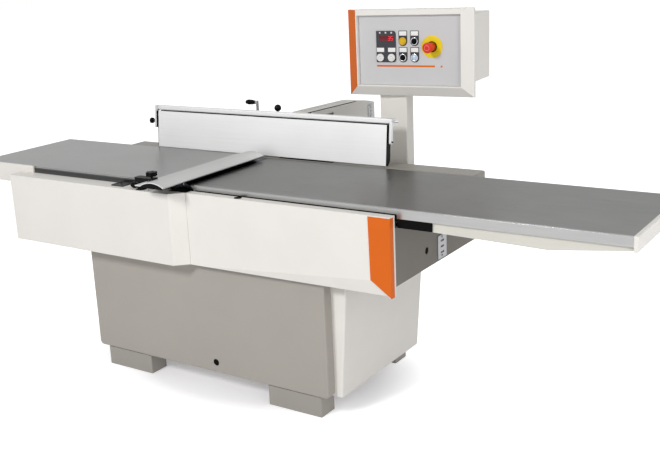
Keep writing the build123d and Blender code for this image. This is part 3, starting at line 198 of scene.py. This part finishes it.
# powder coat on sheet steel: even colour, soft sheen, folds that catch the light and a low orange-peel ripple
# the ripple is really about 2 mm, and is drawn at 9 mm so that it shows
coatBase = {
    "cloud": 0.16, "spread": 0.012, "ends": (0.35, 0.65), "ripple": 0.009, "rough": 0.42, "roughSpread": 0.04,
    "bump": 0.06, "depth": 0.001, "fold": 0.0018, "shine": 0.25,
}
coatSet = {
    "white_paint": {"name": "white powder coat", "colour": "EBE8E2"},  # warm white sheet, satin and even
    "grey_paint": {"name": "grey textured powder coat", "colour": "A9A49C", "bump": 0.12},  # flat warm grey
    "foot_paint": {"name": "grey enamel on cast feet", "colour": "A19D96"},  # a little darker, like castings
    "frame_paint": {"name": "dark grey primer coat", "colour": "7A766F", "rough": 0.55},  # dull, in shadow
    "rail_paint": {"name": "grey powder coat on tube", "colour": "98948D"},  # satin grey tube
    "orange_paint": {"name": "orange powder coat", "colour": "DC6A20", "shine": 0.1},  # strong and deep
    "motor_paint": {"name": "grey-blue motor enamel", "colour": "5E6468", "rough": 0.35},  # hard and shiny
    "beige_paint": {"name": "pale beige powder coat", "colour": "E4E1DA"},  # greyer than the white sheets
    "cream_paint": {"name": "cream powder coat", "colour": "D8D6CC"},  # yellower, on the beam under the table
    "post_paint": {"name": "pale grey powder coat", "colour": "E8E5DE"},  # satin, on the square post
    "black_lever": {"name": "black stove enamel", "colour": "0E0E0F", "rough": 0.28,
                    "shine": 0.1},  # glossy black
    "black_paint": {"name": "black powder coat", "colour": "101011", "shine": 0.06},  # deep satin black
    "galvanised": {"name": "galvanised sheet steel", "colour": "AEB1B2", "rough": 0.45, "spread": 0.09,
                   "cloud": 0.02, "shine": 0.5},  # dull grey with a 20 mm spangle
}


def powderCoat(name, s):
    material, tree = newMaterial(name)
    space = addNode(tree, "ShaderNodeTexCoord").outputs["Object"]
    cloud = addNode(tree, "ShaderNodeTexNoise", {"Scale": 1 / s["cloud"], "Detail": 3.0}, {"Vector": space})
    ramp = addNode(tree, "ShaderNodeValToRGB", {}, {"Fac": cloud.outputs["Fac"]})
    rampColours(ramp, s["colour"], (1 - s["spread"], 1 + s["spread"]), s["ends"])
    ripple = addNode(tree, "ShaderNodeTexNoise", {"Scale": 1 / s["ripple"], "Detail": 1.0}, {"Vector": space})
    rough = addNode(tree, "ShaderNodeMapRange", roughRange(s), {"Value": ripple.outputs["Fac"]})
    fold = addNode(tree, "ShaderNodeBevel", {"samples": 4, "Radius": s["fold"]})
    bump = addNode(tree, "ShaderNodeBump", {"Strength": s["bump"], "Distance": s["depth"]},
                   {"Height": ripple.outputs["Fac"], "Normal": fold.outputs["Normal"]})
    coat = addNode(tree, "ShaderNodeBsdfPrincipled", {"IOR": 1.5, "Specular IOR Level": s["shine"]},
                   {"Base Color": ramp.outputs["Color"], "Roughness": rough.outputs["Result"],
                    "Normal": bump.outputs["Normal"]})
    addNode(tree, "ShaderNodeOutputMaterial", {}, {"Surface": coat.outputs["BSDF"]})
    return material


# bare metal: fine marks along one direction, as stretched noise in colour and roughness
# marks are the length of that noise along X, Y and Z in metres
# real grinding marks are about 0.1 mm apart, and are drawn at 3.5 mm so that they show
metalBase = {
    "cloud": 0.22, "markShare": 0.6, "cloudShare": 0.4, "lift": 0.2, "spread": 0.06, "ends": (0.45, 0.95),
    "roughSpread": 0.07, "bump": 0.08, "depth": 0.0004, "edge": 0.0008, "tint": "FFFFFF",
    "streak": 0.0, "across": (0, 1, 0),
}
metalSet = {
    "ground_iron": {"name": "ground cast iron", "colour": "9E9E9D", "tint": "E0E0E0",
                    "marks": (0.16, 0.0035, 0.01), "rough": 0.3, "streak": 0.6,
                    "spread": 0.1},  # grey mirror, smeared across its grinding marks
    "shaded_iron": {"name": "ground cast iron, darkened for shade", "colour": "9A9A99", "tint": "BCBCBC",
                   "marks": (0.16, 0.0035, 0.01), "rough": 0.3, "streak": 0.6,
                   "spread": 0.1},  # a darker copy of the ground iron: painted shade and a painted darker reflection on the infeed table
    "blued_steel": {"name": "blued tool steel", "colour": "3C3E42", "marks": (0.004, 0.05, 0.004),
                    "rough": 0.36},  # dark blue-grey block
    "shade_steel": {"name": "dark steel for painted shade", "colour": "58595A", "marks": (0.3, 0.004, 0.004),
                    "rough": 0.34},  # dark, with a soft gleam: painted shade and dark reflection for the outfeed table's edge
    "machined_steel": {"name": "turned steel", "colour": "B4B4B2", "marks": (0.004, 0.05, 0.004),
                       "rough": 0.34},  # soft streaks
    "knife_steel": {"name": "ground knife steel", "colour": "B4B4B2", "marks": (0.004, 0.004, 0.05),
                    "rough": 0.24},  # bright edge
    "zinc_plate": {"name": "zinc-plated steel", "colour": "9A9B9D", "marks": (0.02, 0.02, 0.02),
                   "rough": 0.4},  # even, cool grey
    "anodised_aluminium": {"name": "natural anodised aluminium", "colour": "DADADA", "tint": "F0F0F0",
                           "marks": (0.3, 0.003, 0.003),
                           "rough": 0.64},  # pale, silky, drawn along its length
    "bar_aluminium": {"name": "natural anodised aluminium bar", "colour": "D2D2D2", "tint": "F0F0F0",
                      "marks": (0.3, 0.003, 0.003), "rough": 0.62},  # a little greyer than the fence under it
    "guard_aluminium": {"name": "brushed guard aluminium", "colour": "C2C2C1", "tint": "E0E0E0",
                        "marks": (0.003, 0.3, 0.003), "rough": 0.38},  # greyer, brushed along the guard
    "chrome_rod": {"name": "chromed steel", "colour": "C6C7C9", "marks": (0.02, 0.02, 0.02), "rough": 0.12,
                   "bump": 0.02},  # clear mirror
}


def workedMetal(name, s):
    material, tree = newMaterial(name)
    space = addNode(tree, "ShaderNodeTexCoord").outputs["Object"]
    lay = addNode(tree, "ShaderNodeMapping", {"Scale": tuple(1 / v for v in s["marks"])}, {"Vector": space})
    marks = addNode(tree, "ShaderNodeTexNoise", {"Scale": 1.0, "Detail": 4.0},
                    {"Vector": lay.outputs["Vector"]})
    cloud = addNode(tree, "ShaderNodeTexNoise", {"Scale": 1 / s["cloud"], "Detail": 2.0}, {"Vector": space})
    lines = addNode(tree, "ShaderNodeMath", {"operation": "MULTIPLY_ADD", 1: s["markShare"], 2: s["lift"]},
                    {0: marks.outputs["Fac"]})
    both = addNode(tree, "ShaderNodeMath", {"operation": "MULTIPLY_ADD", 1: s["cloudShare"]},
                   {0: cloud.outputs["Fac"], 2: lines.outputs[0]})
    ramp = addNode(tree, "ShaderNodeValToRGB", {}, {"Fac": both.outputs[0]})
    rampColours(ramp, s["colour"], (1 - s["spread"], 1 + s["spread"]), s["ends"])
    rough = addNode(tree, "ShaderNodeMapRange", roughRange(s), {"Value": marks.outputs["Fac"]})
    edge = addNode(tree, "ShaderNodeBevel", {"samples": 4, "Radius": s["edge"]})
    bump = addNode(tree, "ShaderNodeBump", {"Strength": s["bump"], "Distance": s["depth"]},
                   {"Height": marks.outputs["Fac"], "Normal": edge.outputs["Normal"]})
    across = addNode(tree, "ShaderNodeCombineXYZ", dict(zip("XYZ", s["across"])))
    metal = addNode(tree, "ShaderNodeBsdfPrincipled",
                    {"Metallic": 1.0, "Specular Tint": linearColour(s["tint"]), "Anisotropic": s["streak"]},
                    {"Base Color": ramp.outputs["Color"], "Roughness": rough.outputs["Result"],
                     "Normal": bump.outputs["Normal"], "Tangent": across.outputs["Vector"]})
    addNode(tree, "ShaderNodeOutputMaterial", {}, {"Surface": metal.outputs["BSDF"]})
    return material


# moulded plastic, rubber and printed ink: fine pebble grain and faint colour clouds
# the grain is really under 1 mm, and is drawn a little coarser so that it shows
plasticBase = {
    "cloud": 0.05, "spread": 0.03, "ends": (0.35, 0.65), "grain": 0.0016, "roughSpread": 0.05,
    "bump": 0.05, "depth": 0.0003, "glow": 0.0, "shine": 0.35,
}
plasticSet = {
    "black_rubber": {"name": "black nitrile rubber", "colour": "0C0C0C", "rough": 0.72,
                     "shine": 0.06},  # dead matt black
    "black_plastic": {"name": "black moulded nylon", "colour": "0C0C0D", "rough": 0.45,
                      "shine": 0.06},  # black with a soft shine
    "membrane_grey": {"name": "printed polyester membrane", "colour": "CBCACB", "rough": 0.5, "grain": 0.004,
                      "spread": 0.008},  # matt silver grey
    "display_black": {"name": "black ABS bezel", "colour": "35363A", "rough": 0.4},  # charcoal
    "white_button": {"name": "white ABS", "colour": "EDEDEA", "rough": 0.3},  # clean white, shiny
    "yellow_button": {"name": "yellow ABS", "colour": "E0B41A", "rough": 0.3},  # warm yellow
    "lamp_lens": {"name": "frosted blue polycarbonate", "colour": "BFD0E6", "rough": 0.16},  # light blue lens
    "red_button": {"name": "red ABS", "colour": "D8301C", "rough": 0.34},  # signal red
    "displayGlass": {"name": "red acrylic window", "colour": "6A0F16", "rough": 0.18},  # dark red, glossy
    "litSegment": {"name": "lit red segment", "colour": "FF2A2E", "rough": 0.4, "glow": 0.6},  # glows a bit
    "clearLens": {"name": "clear acrylic lens", "colour": "D8D8D6", "rough": 0.15},  # pale, glossy
    "legendBlack": {"name": "black legend plate", "colour": "2B2C2E", "rough": 0.4},  # near black
    "yellowDisc": {"name": "yellow printed disc", "colour": "E9CE12", "rough": 0.4},  # clear yellow
    "labelWhite": {"name": "white legend field", "colour": "EEEEEC", "rough": 0.5},  # matt white
    "orangeInk": {"name": "orange printing ink", "colour": "E26C10", "rough": 0.6,
                  "shine": 0.05},  # thin matt line
    "greyInk": {"name": "grey printing ink", "colour": "B4B4B2", "rough": 0.5},  # soft grey ring on white
    "paleInk": {"name": "pale red printing ink", "colour": "E8A59B", "rough": 0.5},  # faint pink ring on red
    "greyPad": {"name": "grey moulded rubber", "colour": "3E3E3E", "rough": 0.6,
                "grain": 0.006},  # dull dark grey
}


def mouldedPlastic(name, s):
    material, tree = newMaterial(name)
    space = addNode(tree, "ShaderNodeTexCoord").outputs["Object"]
    grain = addNode(tree, "ShaderNodeTexVoronoi", {"Scale": 1 / s["grain"]}, {"Vector": space})
    cloud = addNode(tree, "ShaderNodeTexNoise", {"Scale": 1 / s["cloud"], "Detail": 2.0}, {"Vector": space})
    ramp = addNode(tree, "ShaderNodeValToRGB", {}, {"Fac": cloud.outputs["Fac"]})
    rampColours(ramp, s["colour"], (1 - s["spread"], 1 + s["spread"]), s["ends"])
    rough = addNode(tree, "ShaderNodeMapRange", roughRange(s), {"Value": grain.outputs["Distance"]})
    bump = addNode(tree, "ShaderNodeBump", {"Strength": s["bump"], "Distance": s["depth"]},
                   {"Height": grain.outputs["Distance"]})
    plastic = addNode(tree, "ShaderNodeBsdfPrincipled",
                      {"IOR": 1.46, "Specular IOR Level": s["shine"],
                       "Emission Color": linearColour(s["colour"]), "Emission Strength": s["glow"]},
                      {"Base Color": ramp.outputs["Color"], "Roughness": rough.outputs["Result"],
                       "Normal": bump.outputs["Normal"]})
    addNode(tree, "ShaderNodeOutputMaterial", {}, {"Surface": plastic.outputs["BSDF"]})
    return material


finishes = {key: powderCoat(s["name"], {**coatBase, **s}) for key, s in coatSet.items()}
finishes.update({key: workedMetal(s["name"], {**metalBase, **s}) for key, s in metalSet.items()})
finishes.update({key: mouldedPlastic(s["name"], {**plasticBase, **s}) for key, s in plasticSet.items()})

# nodes that look different from their slot's usual finish
ownFinish = {
    # the infeed table's darker iron is painted shade and reflection
    "infeed_table": "shaded_iron", "infeed_beam": "cream_paint", "aux_fence": "bar_aluminium",
    "bearings": "black_paint", "cutterblock": "blued_steel", "knife_wedges": "blued_steel",
}
for part in frame["record"]["subparts"]:
    node = nodes[part["node"]]
    node.data.materials.clear()
    node.data.materials.append(finishes[ownFinish.get(part["node"], part["material_slot"])])
print("finishes on CAD nodes:", len(finishes))

# what all pieces share
shapeSet = {
    "fold": 0.6,  # an edge that turns by more, in radians, is rounded and shaded as a corner
    "edgeSegments": 2, "cornerSegments": 8,
    "facing": 0.95,  # how far the normal of a picked face points along its axis, at least
    "near": 1e-6,
    "drillLength": 6, "drillSides": 48,  # a drill is six plates long
}


# leave edit mode and deselect everything, the CAD nodes too
def beginPiece():
    if bpy.context.mode != "OBJECT":
        bpy.ops.object.mode_set(mode="OBJECT")
    bpy.ops.object.select_all(action="DESELECT")


def choosePiece(piece):
    beginPiece()
    piece.select_set(True)
    bpy.context.view_layer.objects.active = piece


# a block of a size round its middle, to start a piece from
def startBlock(size, middle=(0, 0, 0)):
    beginPiece()
    bpy.ops.mesh.primitive_cube_add(size=1, location=middle, scale=size)
    bpy.ops.object.transform_apply(location=True, scale=True)
    return bpy.context.object


# a round bar along local z from z = 0 upwards, to start a piece from
def startRound(radius, height, sides):
    beginPiece()
    middle = (0, 0, height / 2)
    bpy.ops.mesh.primitive_cylinder_add(vertices=sides, radius=radius, depth=height, location=middle)
    bpy.ops.object.transform_apply(location=True)
    return bpy.context.object


# edit mode's faces or edges, with none of them picked
def clearPicks(kind):
    bpy.ops.object.mode_set(mode="EDIT")
    bpy.ops.mesh.select_mode(type=kind)
    bpy.ops.mesh.select_all(action="DESELECT")
    bpy.ops.object.mode_set(mode="OBJECT")


# faces are picked by a test on each, edges by a test on their two ends
def pickFaces(piece, chosen):
    clearPicks("FACE")
    for face in piece.data.polygons:
        face.select = chosen(face)
    bpy.ops.object.mode_set(mode="EDIT")


def pickEdges(piece, chosen):
    clearPicks("EDGE")
    for edge in piece.data.edges:
        edge.select = chosen(*(piece.data.vertices[i].co for i in edge.vertices))
    bpy.ops.object.mode_set(mode="EDIT")


# round the picked edges
def roundPicked(radius, segments):
    bpy.ops.mesh.bevel(offset=radius, segments=segments, affect="EDGES")
    bpy.ops.object.mode_set(mode="OBJECT")


# inset the picked faces and push them in or out
def movePicked(inset, move):
    bpy.ops.mesh.inset(thickness=inset)
    bpy.ops.mesh.extrude_region_move(TRANSFORM_OT_translate={"value": move})
    bpy.ops.object.mode_set(mode="OBJECT")


def useModifier(piece, kind, settings):
    modifier = piece.modifiers.new(kind.lower(), kind)
    for key, value in settings.items():
        setattr(modifier, key, value)
    bpy.ops.object.modifier_apply(modifier=modifier.name)


def softenEdges(piece, width):
    useModifier(piece, "BEVEL", {"width": width, "segments": shapeSet["edgeSegments"],
                                 "limit_method": "ANGLE", "angle_limit": shapeSet["fold"]})


# put a finished piece in its place, with its place in its mesh
def settle(piece, name, place, body, slot, finish):
    piece.name = name
    piece.data.name = name
    piece.matrix_world = place
    bpy.ops.object.transform_apply(location=True, rotation=True, scale=True)
    bpy.ops.object.shade_smooth_by_angle(angle=shapeSet["fold"])
    piece.data.materials.clear()
    piece.data.materials.append(finishes[finish])
    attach(piece, body)


# a piece that repeats: it takes the first row of name, place, body, slot and finish, and copies take the rest
def settleAll(piece, rows):
    settle(piece, *rows[0])
    back = rows[0][1].inverted()
    for name, place, *looks in rows[1:]:
        choosePiece(piece)
        bpy.ops.object.duplicate(linked=False)
        settle(bpy.context.object, name, place @ back, *looks)


# a flat plate in local x and y, its back on local z = 0, with one radius for its foot and one for its top
def roundedPlate(size, foot, top, edge):
    width, depth = size[0], size[2]
    piece = startBlock(size, (0, 0, depth / 2))
    for corner, side in ((foot, -1), (top, 1)):
        pickEdges(piece, lambda a, b: abs(a.z - b.z) > depth / 2 and min(a.y * side, b.y * side) > 0
                  and abs(abs(a.x) - width / 2) < shapeSet["near"])
        roundPicked(corner, shapeSet["cornerSegments"])
    softenEdges(piece, edge)
    return piece


# a round hole through a plate, cut with a cylinder that is then removed
def drillPlate(piece, radius, at, depth):
    beginPiece()
    bpy.ops.mesh.primitive_cylinder_add(vertices=shapeSet["drillSides"], radius=radius,
                                        depth=depth * shapeSet["drillLength"], location=(*at, depth / 2))
    drill = bpy.context.object
    choosePiece(piece)
    useModifier(piece, "BOOLEAN", {"object": drill, "operation": "DIFFERENCE", "solver": "EXACT"})
    bpy.data.objects.remove(drill, do_unlink=True)


# a ring round local z, from local z = 0 upwards
def turnedRing(inner, outer, height, edge, sides):
    piece = startRound(outer, height, sides)
    pickFaces(piece, lambda f: abs(f.normal.z) > shapeSet["facing"])
    bpy.ops.mesh.inset(thickness=outer - inner, use_individual=True)
    bpy.ops.mesh.bridge_edge_loops()
    bpy.ops.object.mode_set(mode="OBJECT")
    softenEdges(piece, edge)
    return piece


# a round head from local z = 0 upwards, with a smaller round in its top that is raised or sunk
def turnedHead(radius, height, socket, rise, edge, sides):
    piece = startRound(radius, height, sides)
    pickFaces(piece, lambda f: f.normal.z > shapeSet["facing"])
    movePicked(radius - socket, (0, 0, rise))
    softenEdges(piece, edge)
    return piece


# control panel, from the middle of its rim: turn in degrees, controls in millimetres across and up,
# and in metres the levels of the face, of the legend plates on it and of the display module
panelSet = {
    "middle": (0.3595, 0.13775, 1.279), "turn": 5.0, "face": 0.0155, "plate": 0.0165, "module": 0.0195,
    "controls": {"start": (-22, 46.5), "stop": (-22, -17), "lamp": (27, -17), "selector": (27, 46.5),
                 "up": (-117.5, -17), "down": (-69.5, -17), "emergency": (99, 25)},
}
panelTurn = math.radians(panelSet["turn"])
# local x runs across the face, local y up it and local z out of it
panelAxes = Matrix(((math.cos(panelTurn), 0, math.sin(panelTurn)),
                    (math.sin(panelTurn), 0, -math.cos(panelTurn)),
                    (0, 1, 0)))
panelPlace = Matrix.Translation(panelSet["middle"]) @ panelAxes.to_4x4()
controls = panelSet["controls"]


def onPanel(across, up, level):
    return panelPlace @ Matrix.Translation((across * mm, up * mm, level))


# legend plates under the four round controls: dark, round at the foot, with a white field over the control
legendSet = {
    "controls": ("start", "stop", "lamp", "selector"), "up": 10.6, "fieldUp": 29.5, "hole": 0.01135,
    "plate": {"size": (0.0365, 0.0595, 0.0010), "foot": 0.0178, "top": 0.003, "edge": 0.0002},
    "field": {"size": (0.031, 0.0165, 0.0003), "foot": 0.001, "top": 0.001, "edge": 0.0001},
}


def makeLegends(s):
    plates, fields = [], []
    for name in s["controls"]:
        across, up = controls[name]
        spot = onPanel(across, up + s["up"], panelSet["face"])
        plates.append(("legendPlate_" + name, spot, "panel", "display_black", "legendBlack"))
        spot = onPanel(across, up + s["fieldUp"], panelSet["plate"])
        fields.append(("legendField_" + name, spot, "panel", "white_button", "labelWhite"))
    plate = roundedPlate(**s["plate"])
    drillPlate(plate, s["hole"], (0, -s["up"] * mm), s["plate"]["size"][2])
    settleAll(plate, plates)
    settleAll(roundedPlate(**s["field"]), fields)


makeLegends(legendSet)
print("legend plates set")

# bezels round the controls: chrome for the black ones and the lamp, yellow for start, white on the module
bezelSet = {
    "ring": {"inner": 0.01135, "outer": 0.0148, "height": 0.0062, "edge": 0.0012, "sides": 48},
    "bezels": [
        ("stop", "plate", "chrome_rod"), ("lamp", "plate", "chrome_rod"), ("selector", "plate", "chrome_rod"),
        ("start", "plate", "yellow_button"),
        ("up", "module", "white_button"), ("down", "module", "white_button"),
    ],
}


def makeBezels(s):
    settleAll(turnedRing(**s["ring"]), [
        (name + "Bezel", onPanel(*controls[name], panelSet[level]), "panel", finish, finish)
        for name, level, finish in s["bezels"]])


makeBezels(bezelSet)
print("bezels set")

# emergency stop: yellow disc on the face and a black collar under the head
stopSet = {
    "disc": {"inner": 0.0088, "outer": 0.0432, "height": 0.0014, "edge": 0.0004, "sides": 64},
    "collar": {"inner": 0.0175, "outer": 0.0208, "height": 0.004, "edge": 0.001, "sides": 48},
}


def makeStopDisc(s):
    spot = onPanel(*controls["emergency"], panelSet["face"])
    settle(turnedRing(**s["disc"]), "stopDisc", spot, "panel", "yellow_button", "yellowDisc")
    spot = onPanel(*controls["emergency"], panelSet["face"] + s["disc"]["height"])
    settle(turnedRing(**s["collar"]), "stopCollar", spot, "panel", "black_plastic", "black_plastic")


makeStopDisc(stopSet)
print("emergency stop disc set")

# printed rings: grey on the two white module buttons, pale on the head of the emergency stop
ringSet = {
    "button": {"inner": 0.0044, "outer": 0.0062, "height": 0.0004, "edge": 0.0001, "sides": 40},
    "head": {"inner": 0.0091, "outer": 0.0102, "height": 0.0004, "edge": 0.0001, "sides": 40},
    "buttonLevel": 0.0263, "headLevel": 0.0694,
}


def makeRings(s):
    settleAll(turnedRing(**s["button"]), [
        (name + "Ring", onPanel(*controls[name], s["buttonLevel"]), name, "white_button", "greyInk")
        for name in ("up", "down")])
    spot = onPanel(*controls["emergency"], s["headLevel"])
    settle(turnedRing(**s["head"]), "stopRing", spot, "emergency", "white_button", "paleInk")


makeRings(ringSet)
print("printed rings set")

# display module: red window with two lit digits, three clear lenses and two white fields
# a digit's bars are named in the usual way for seven segments, from a at the top to g in the middle
displaySet = {
    "window": {"size": (0.060, 0.0188, 0.0006), "foot": 0.0008, "top": 0.0008, "edge": 0.0001},
    "windowPlace": (-92.7, 57.3),
    "bar": {"size": (0.0072, 0.0016, 0.0003), "foot": 0.0007, "top": 0.0007, "edge": 0.00005},
    "digits": {3: "abgcd", 5: "afgcd"}, "digitAt": (-79.5, -67.8), "digitHigh": 14.5, "digitWide": 8.6,
    "lens": {"radius": 0.0036, "height": 0.0014, "socket": 0.00198, "rise": 0.0006, "edge": 0.0005,
             "sides": 24},
    "lenses": ((-118.5, 79.3), (-93.7, 79.3), (-69, 79.3)),
    "field": {"size": (0.0315, 0.0160, 0.0004), "foot": 0.0008, "top": 0.0008, "edge": 0.0001},
    "fields": ((-117.5, 12.8), (-69, 12.8)),
}


def makeDigits(s):
    level = panelSet["module"] + s["window"]["size"][2]
    half, wide = s["digitHigh"] / 2, s["digitWide"] / 2
    segments = {"a": (0, half, 0), "b": (wide, half / 2, 90), "c": (wide, -half / 2, 90), "d": (0, -half, 0),
                "f": (-wide, half / 2, 90), "g": (0, 0, 0)}
    rows = []
    for digit, middle in zip(s["digits"], s["digitAt"]):
        for key in s["digits"][digit]:
            across, up, turn = segments[key]
            spot = onPanel(middle + across, s["windowPlace"][1] + up, level)
            spot = spot @ Matrix.Rotation(math.radians(turn), 4, "Z")
            rows.append((f"digitBar_{digit}{key}", spot, "panel", "red_button", "litSegment"))
    settleAll(roundedPlate(**s["bar"]), rows)


def makeDisplay(s):
    spot = onPanel(*s["windowPlace"], panelSet["module"])
    settle(roundedPlate(**s["window"]), "displayWindow", spot, "panel", "display_black", "displayGlass")
    makeDigits(s)
    settleAll(turnedHead(**s["lens"]), [
        (f"displayLens_{count}", onPanel(*place, panelSet["module"]), "panel", "lamp_lens", "clearLens")
        for count, place in enumerate(s["lenses"])])
    settleAll(roundedPlate(**s["field"]), [
        (f"displayField_{count}", onPanel(*place, panelSet["module"]), "panel", "white_button", "labelWhite")
        for count, place in enumerate(s["fields"])])


makeDisplay(displaySet)
print("display set")

# thin orange line under the controls, with a short end mark
lineSet = {
    "corners": {"foot": 0.0008, "top": 0.0008, "edge": 0.0001},
    "strips": {
        "panelLine": {"size": (0.246, 0.0068, 0.0004), "place": (-13, -50.4)},
        "panelMark": {"size": (0.0068, 0.0066, 0.0004), "place": (137.2, -50.9)},
    },
}


def makePanelLine(s):
    for name, own in s["strips"].items():
        strip = roundedPlate(own["size"], **s["corners"])
        spot = onPanel(*own["place"], panelSet["face"])
        settle(strip, name, spot, "panel", "orange_paint", "orangeInk")


makePanelLine(lineSet)
print("panel line set")

# socket screws that hold the panel's back cover, in three rows on each side
backScrewSet = {
    "head": {"radius": 0.005, "height": 0.003, "socket": 0.0025, "rise": -0.0018, "edge": 0.0004,
             "sides": 32},
    "level": -0.180, "across": 248, "rows": (-98, 17, 132),
}


def makeBackScrews(s):
    flip = Matrix.Rotation(math.pi, 4, "Y")
    rows = []
    for side, across in (("left", -s["across"]), ("right", s["across"])):
        for up in s["rows"]:
            name = f"backScrew_{side}{up - s['rows'][0]}"
            spot = onPanel(across, up, s["level"]) @ flip
            rows.append((name, spot, "panel", "machined_steel", "machined_steel"))
    settleAll(turnedHead(**s["head"]), rows)


makeBackScrews(backScrewSet)
print("back screws set")

# the frame's origin in the machine's own millimetres, where X = 0 is near the middle of its length
# and Y = 0 is on the middle of the tables
machineSet = {"origin": (6.5, 281.75, 0)}


def onMachine(x, y, z):
    return Matrix.Translation([(v - o) * mm for v, o in zip((x, y, z), machineSet["origin"])])


# dark steel strip in the milled step of the outfeed table's front edge: its dark colour is painted shade and
# a painted dark reflection of that edge
outfeedShadeStripSet = {"from": (-1106, -264, 815.5), "to": (-337, -255, 840.6), "inset": 0.005, "sunk": 0.0012,
                   "edge": 0.0008}


def makeOutfeedShadeStrip(s):
    low, high = Vector(s["from"]), Vector(s["to"])
    strip = startBlock((high - low) * mm)
    pickFaces(strip, lambda f: f.normal.y < -shapeSet["facing"])
    movePicked(s["inset"], (0, s["sunk"], 0))
    softenEdges(strip, s["edge"])
    # the strip's dark finish is painted shade and dark reflection on the table's front edge
    settle(strip, "outfeedShadeStrip", onMachine(*(low + high) / 2), "frame", "machined_steel", "shade_steel")


makeOutfeedShadeStrip(outfeedShadeStripSet)
print("outfeed strip set")

# black strips of painted shade: one fills the slot in the cover's top, where it is in shade, one lies on the
# fence as the painted shadow under the swung-over bar, and one on the rear rail as painted shade in the gap
# under the fence; sizes in millimetres, turns in degrees
shadeStripSet = {
    "inset": 0.002, "sunk": -0.0006, "edge": 0.0004,
    "strips": {
        "coverSlotShade": {"size": (17.8, 386, 5), "place": (-146, 646, 1005.6), "turn": -1.255, "body": "frame"},
        "fenceBarShadow": {"size": (1190, 14, 2.8), "place": (-270.5, 307.9, 1011.9), "turn": -6, "body": "fence"},
        "railGapShade": {"size": (270, 28, 1.4), "place": (-60, 289.5, 845.7), "turn": 0, "body": "frame"},
    },
}


def makeShadeStrips(s):
    for name, own in s["strips"].items():
        strip = startBlock([v * mm for v in own["size"]])
        pickFaces(strip, lambda f: f.normal.z > shapeSet["facing"])
        movePicked(s["inset"], (0, 0, s["sunk"]))
        softenEdges(strip, s["edge"])
        spot = onMachine(*own["place"]) @ Matrix.Rotation(math.radians(own["turn"]), 4, "X")
        # black rubber finish here is painted shade, not a real seal
        settle(strip, name, spot, own["body"], "black_rubber", "black_rubber")


makeShadeStrips(shadeStripSet)
print("black strips set")

# dark rubber pad on the front housing, with a raised rim
padSet = {
    "plate": {"size": (0.064, 0.056, 0.0045), "foot": 0.004, "top": 0.004, "edge": 0.0006},
    "place": (-559.5, -293.6, 822), "rim": 0.006, "sunk": -0.0015,
}


def makePad(s):
    pad = roundedPlate(**s["plate"])
    pickFaces(pad, lambda f: f.normal.z > shapeSet["facing"])
    movePicked(s["rim"], (0, 0, s["sunk"]))
    settle(pad, "housingPad", onMachine(*s["place"]), "frame", "black_rubber", "greyPad")


makePad(padSet)
print("housing pad set")

# black discs in three round holes, each with a flange, a shallow hollow and a stem in its hole:
# on the apron's top, low on the grey front panel and on the right end of the frame; their black is painted
# shade for the dark inside of the holes
holeShadeSet = {
    "hollow": 0.75,  # share of the flange's radius
    "sunk": -0.0006, "edge": 0.0004, "sides": 40, "stemDepth": -0.006,
    "holeShades": {
        "apronHoleShade": {"place": (19, -283, 822), "turn": 0, "axis": "X",
                      "radius": 0.0148, "height": 0.0014, "stem": 0.0126},
        "panelHoleShade": {"place": (-162, -262.5, 126), "turn": 90, "axis": "X",
                      "radius": 0.0138, "height": 0.0014, "stem": 0.012},
        "frameHoleShade": {"place": (636, 8, 619), "turn": 90, "axis": "Y",
                      "radius": 0.0128, "height": 0.0024, "stem": 0.011},
    },
}


def makeHoleShades(s):
    for name, own in s["holeShades"].items():
        hollow = own["radius"] * s["hollow"]
        holeShade = turnedHead(own["radius"], own["height"], hollow, s["sunk"], s["edge"], s["sides"])
        pickFaces(holeShade, lambda f: f.normal.z < -shapeSet["facing"])
        movePicked(own["radius"] - own["stem"], (0, 0, s["stemDepth"]))
        spot = onMachine(*own["place"]) @ Matrix.Rotation(math.radians(own["turn"]), 4, own["axis"])
        # black rubber finish here is painted shade inside the hole
        settle(holeShade, name, spot, "frame", "black_rubber", "black_rubber")


makeHoleShades(holeShadeSet)
print("plugs set")

# stop screw under the guard carrier: a bright pin with a lock nut at its top
stopScrewSet = {
    "place": (-384, -328), "low": 822.8, "high": 853, "radius": 0.0034, "edge": 0.0008, "sides": 24,
    "nut": {"inner": 0.0035, "outer": 0.0066, "height": 0.006, "edge": 0.0005, "sides": 6}, "nutLow": 847,
}


def makeStopScrew(s):
    pin = startRound(s["radius"], (s["high"] - s["low"]) * mm, s["sides"])
    softenEdges(pin, s["edge"])
    spot = onMachine(*s["place"], s["low"])
    settle(pin, "guardStopScrew", spot, "guard_holder", "machined_steel", "chrome_rod")
    spot = onMachine(*s["place"], s["nutLow"])
    settle(turnedRing(**s["nut"]), "guardStopNut", spot, "guard_holder", "machined_steel", "machined_steel")


makeStopScrew(stopScrewSet)
print("guard stop screw set")

# pressed louvres on the rear wall of the base, in two columns: round at the top, open underneath
louvreSet = {
    "size": (0.15, 0.007, 0.016), "round": 0.00665, "roundSegments": 6, "sheet": 0.0014, "open": 0.006,
    "edge": 0.0005, "columns": (-420, -20), "low": 200, "pitch": 28, "count": 7, "wall": 375,
}


def makeLouvres(s):
    deep = s["size"][1]
    fin = startBlock(s["size"], (0, deep / 2, 0))
    pickEdges(fin, lambda a, b: min(a.y, b.y) > deep / 2 and min(a.z, b.z) > 0)
    roundPicked(s["round"], s["roundSegments"])
    pickFaces(fin, lambda f: f.normal.z < -shapeSet["facing"])
    movePicked(s["sheet"], (0, 0, s["open"]))
    softenEdges(fin, s["edge"])
    rows = []
    for column, x in enumerate(s["columns"]):
        for row in range(s["count"]):
            spot = onMachine(x, s["wall"], s["low"] + row * s["pitch"])
            rows.append((f"louvre_{column}{row}", spot, "frame", "white_paint", "white_paint"))
    settleAll(fin, rows)


makeLouvres(louvreSet)
print("louvres set")
